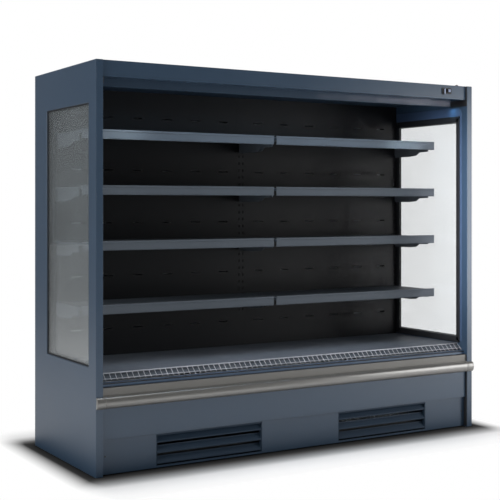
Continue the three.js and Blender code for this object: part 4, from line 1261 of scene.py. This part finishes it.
# ---- Stage ----
def studio_world(context):
    """Plain white to the camera; to the object, white beyond it and a dimmer room before it."""
    world = bpy.data.worlds.new("studio")
    context.scene.world = world
    world.use_nodes = True
    sky = NodeSheet(world.node_tree)
    output = sky.tree.nodes.new("ShaderNodeOutputWorld")
    direction = sky.node("ShaderNodeTexCoord", output=0)
    compared = {0: direction, 1: CAMERA_AIM}
    ahead = sky.node("ShaderNodeVectorMath", {"operation": "DOT_PRODUCT"}, compared, output=1)
    stops = ((0.0, 0.14), (0.35, 0.14), (0.6, 0.18), (0.82, 0.1), (0.97, 1.0))
    level = sky.ramp(ahead * 0.5 + 0.5, *stops)
    room = sky.node("ShaderNodeBackground", {}, {"Color": level, "Strength": 1.0})
    white = sky.node("ShaderNodeBackground", {}, {"Color": (1, 1, 1, 1), "Strength": 1.0})
    ray = sky.tree.nodes.new("ShaderNodeLightPath").outputs
    seen = Value(sky, ray["Is Camera Ray"]).at_least(Value(sky, ray["Is Transmission Ray"]))
    sky.feed(output.inputs[0], sky.node("ShaderNodeMixShader", {}, {0: seen, 1: room, 2: white}))


WARM = (1.0, 0.59, 0.42)
WHITE = (1.0, 1.0, 1.0)
# Name, centre, target, width, height, brightness, then colour and spread where they aren't plain.
LAMPS = (
    ("key_softbox", (3.6, -2.85, 1.25), (0.9, -0.4, 1.25), 1.8, 2.1, 6.6),
    ("front_softbox", (-2.6, -6.0, 1.1), (0.2, -0.2, 0.7), 3.0, 1.6, 0.45),
    ("side_softbox", (-9.0, -1.4, 3.2), (0.4, 0.0, 1.2), 4.4, 4.0, 9.0),
    # Four strips side by side behind the fascia, brighter towards the right
    *(
        (
            f"valance_wash_{number}", ((x0 + x1) / 2, -0.388, 2.003), ((x0 + x1) / 2, -0.28, 2.003),
            x1 - x0, 0.014, level, WARM, 30,
        )
        for number, (x0, x1, level) in enumerate(
            ((0.2, 0.4, 1.0), (0.41, 0.62, 2.2), (0.63, 0.85, 4.2), (0.86, 1.2, 6.7))
        )
    ),
    ("deck_wash", (-0.12, -0.25, 0.80), (-0.12, -0.32, 0.51), 1.9, 0.05, 8.0, (1.0, 0.96, 1.0)),
    ("bounce_softbox", (0.4, -2.3, 0.01), (0.4, -2.3, 2.0), 5.0, 2.6, 0.66),
    ("jamb_softbox", (0.95, -0.6, 1.28), (1.21, -0.6, 1.26), 0.28, 1.1, 6.9, (1.0, 0.91, 0.91)),
    ("overhead_softbox", (-0.3, 0.0, 5.4), (0, 0.0, 0), 5.4, 3.4, 3.0),
    ("canopy_glow", (0, -0.262, 1.986), (0, -0.30, 1.6), 1.96, 0.02, 54.0, (0.6, 0.8, 1.0)),
    *(
        (
            f"{name}_shelf_glow", (side * 0.98, -0.262, 1.984), (side * 0.99, -0.134, 1.76),
            0.28, 0.02, 23.0 + side * 7.0, (0.88, 0.98, 1.0), 50,
        )
        for name, side in SIDES
    ),
    (
        "end_glow", (1.085, -0.300, 1.992), (1.212, -0.308, 1.948), 0.05, 0.012, 11.0,
        (0.33, 0.77, 1.0), 44,
    ),
)


def softbox(name, centre, target, width, height, level, colour=WHITE, spread=180):
    """A soft lamp whose face has the given brightness, turned to a target; a grid may narrow it."""
    aim = Vector(target) - Vector(centre)
    bpy.ops.object.light_add(
        type="AREA", location=centre, rotation=aim.to_track_quat("-Z", "Y").to_euler()
    )
    light = bpy.context.view_layer.objects.active
    light.name = light.data.name = name
    light.data.shape = "RECTANGLE"
    light.data.size, light.data.size_y = width, height
    light.data.energy = level * math.pi * width * height
    light.data.color = colour
    light.data.spread = math.radians(spread)
    light.visible_camera = False


def floor_finish():
    """White floor with a painted contact shadow round the case's foot, plain white to the camera far
    off.
    """
    floor = Finish("studio_floor", (0.95, 0.95, 0.95), 0.9)
    across = floor.part("X")
    along = floor.part("Y").size()
    aside = ((across.size() - 1.25) * 2.6).at_least(0.0)
    away = (aside ** 2 + (along - 0.45).at_least(0.0) ** 2) ** 0.5
    fade = floor.ramp(away * 2.0, (0.24, 0.0), (0.9, 1.0))
    white = floor.node("ShaderNodeEmission", {}, {0: (1, 1, 1, 1), 1: 1.0})
    # The floor's colour darkens towards the foot of the case: a painted contact shadow.
    ahead = floor.part("Y") * -1.0 - 0.40
    front = ahead.at_least(floor.part("Y") - 0.45).at_least(across.size() - 1.24).at_least(0.0)
    painted_contact_shadow = floor.ramp(
        front * 2.5, (0.0, 0.02), (0.15, 0.06), (0.25, 0.16), (0.36, 0.33),
        (0.46, 0.5), (0.61, 0.77), (1.0, 0.93),
    )
    matt = floor.node("ShaderNodeBsdfDiffuse", {}, {0: painted_contact_shadow})
    ray = floor.tree.nodes.new("ShaderNodeLightPath").outputs
    floor.end_with(fade * Value(floor, ray["Is Camera Ray"]), matt, white)
    return floor.material


class FRIDGE_OT_stage(bpy.types.Operator):
    """Makes the floor, the lamps, the world and the camera at the photograph's viewpoint"""

    bl_idname = "fridge.stage"
    bl_label = "Stage"

    def execute(self, context):
        studio_world(context)
        bpy.ops.mesh.primitive_plane_add(size=60, location=(0, 0, -0.0005))
        floor = settle(named("studio_floor"))
        with editing(floor):
            pick_all()
            bpy.ops.mesh.subdivide(number_cuts=3)
        floor.data.materials.append(floor_finish())
        for lamp_row in LAMPS:
            softbox(*lamp_row)
        bpy.ops.object.camera_add(
            location=CAMERA_PLACE, rotation=(math.pi / 2, 0, math.radians(CAMERA_TURN))
        )
        camera = context.view_layer.objects.active
        camera.data.lens = CAMERA_LENS
        camera.data.sensor_width = 36
        camera.data.shift_y = CAMERA_RISE
        context.scene.camera = camera
        context.scene.view_settings.view_transform = "Standard"
        return {"FINISHED"}


class FRIDGE_PT_panel(bpy.types.Panel):
    """Lists the fridge's colours, sizes and steps"""

    bl_idname = "FRIDGE_PT_panel"
    bl_label = "Display fridge"
    bl_space_type = "VIEW_3D"
    bl_region_type = "UI"
    bl_category = "Fridge"

    def draw(self, context):
        column = self.layout.column()
        for group in (context.scene.fridge_colours, context.scene.fridge_sizes):
            for name in group.__annotations__:
                column.prop(group, name)
        for step in STEPS:
            column.operator(step.bl_idname)


STEPS = (
    FRIDGE_OT_case,
    FRIDGE_OT_windows,
    FRIDGE_OT_bumper,
    FRIDGE_OT_air_grille,
    FRIDGE_OT_shelves,
    FRIDGE_OT_interior,
    FRIDGE_OT_canopy,
    FRIDGE_OT_cooling,
    FRIDGE_OT_stage,
)
CLASSES = (FridgeColours, FridgeSizes, *STEPS, FRIDGE_PT_panel)


def register():
    for entry in CLASSES:
        bpy.utils.register_class(entry)
    bpy.types.Scene.fridge_colours = bpy.props.PointerProperty(type=FridgeColours)
    bpy.types.Scene.fridge_sizes = bpy.props.PointerProperty(type=FridgeSizes)


def unregister():
    del bpy.types.Scene.fridge_sizes
    del bpy.types.Scene.fridge_colours
    for entry in reversed(CLASSES):
        bpy.utils.unregister_class(entry)


def main():
    register()
    for step in STEPS:
        family, name = step.bl_idname.split(".")
        getattr(getattr(bpy.ops, family), name)()


if __name__ == "__main__":
    main()
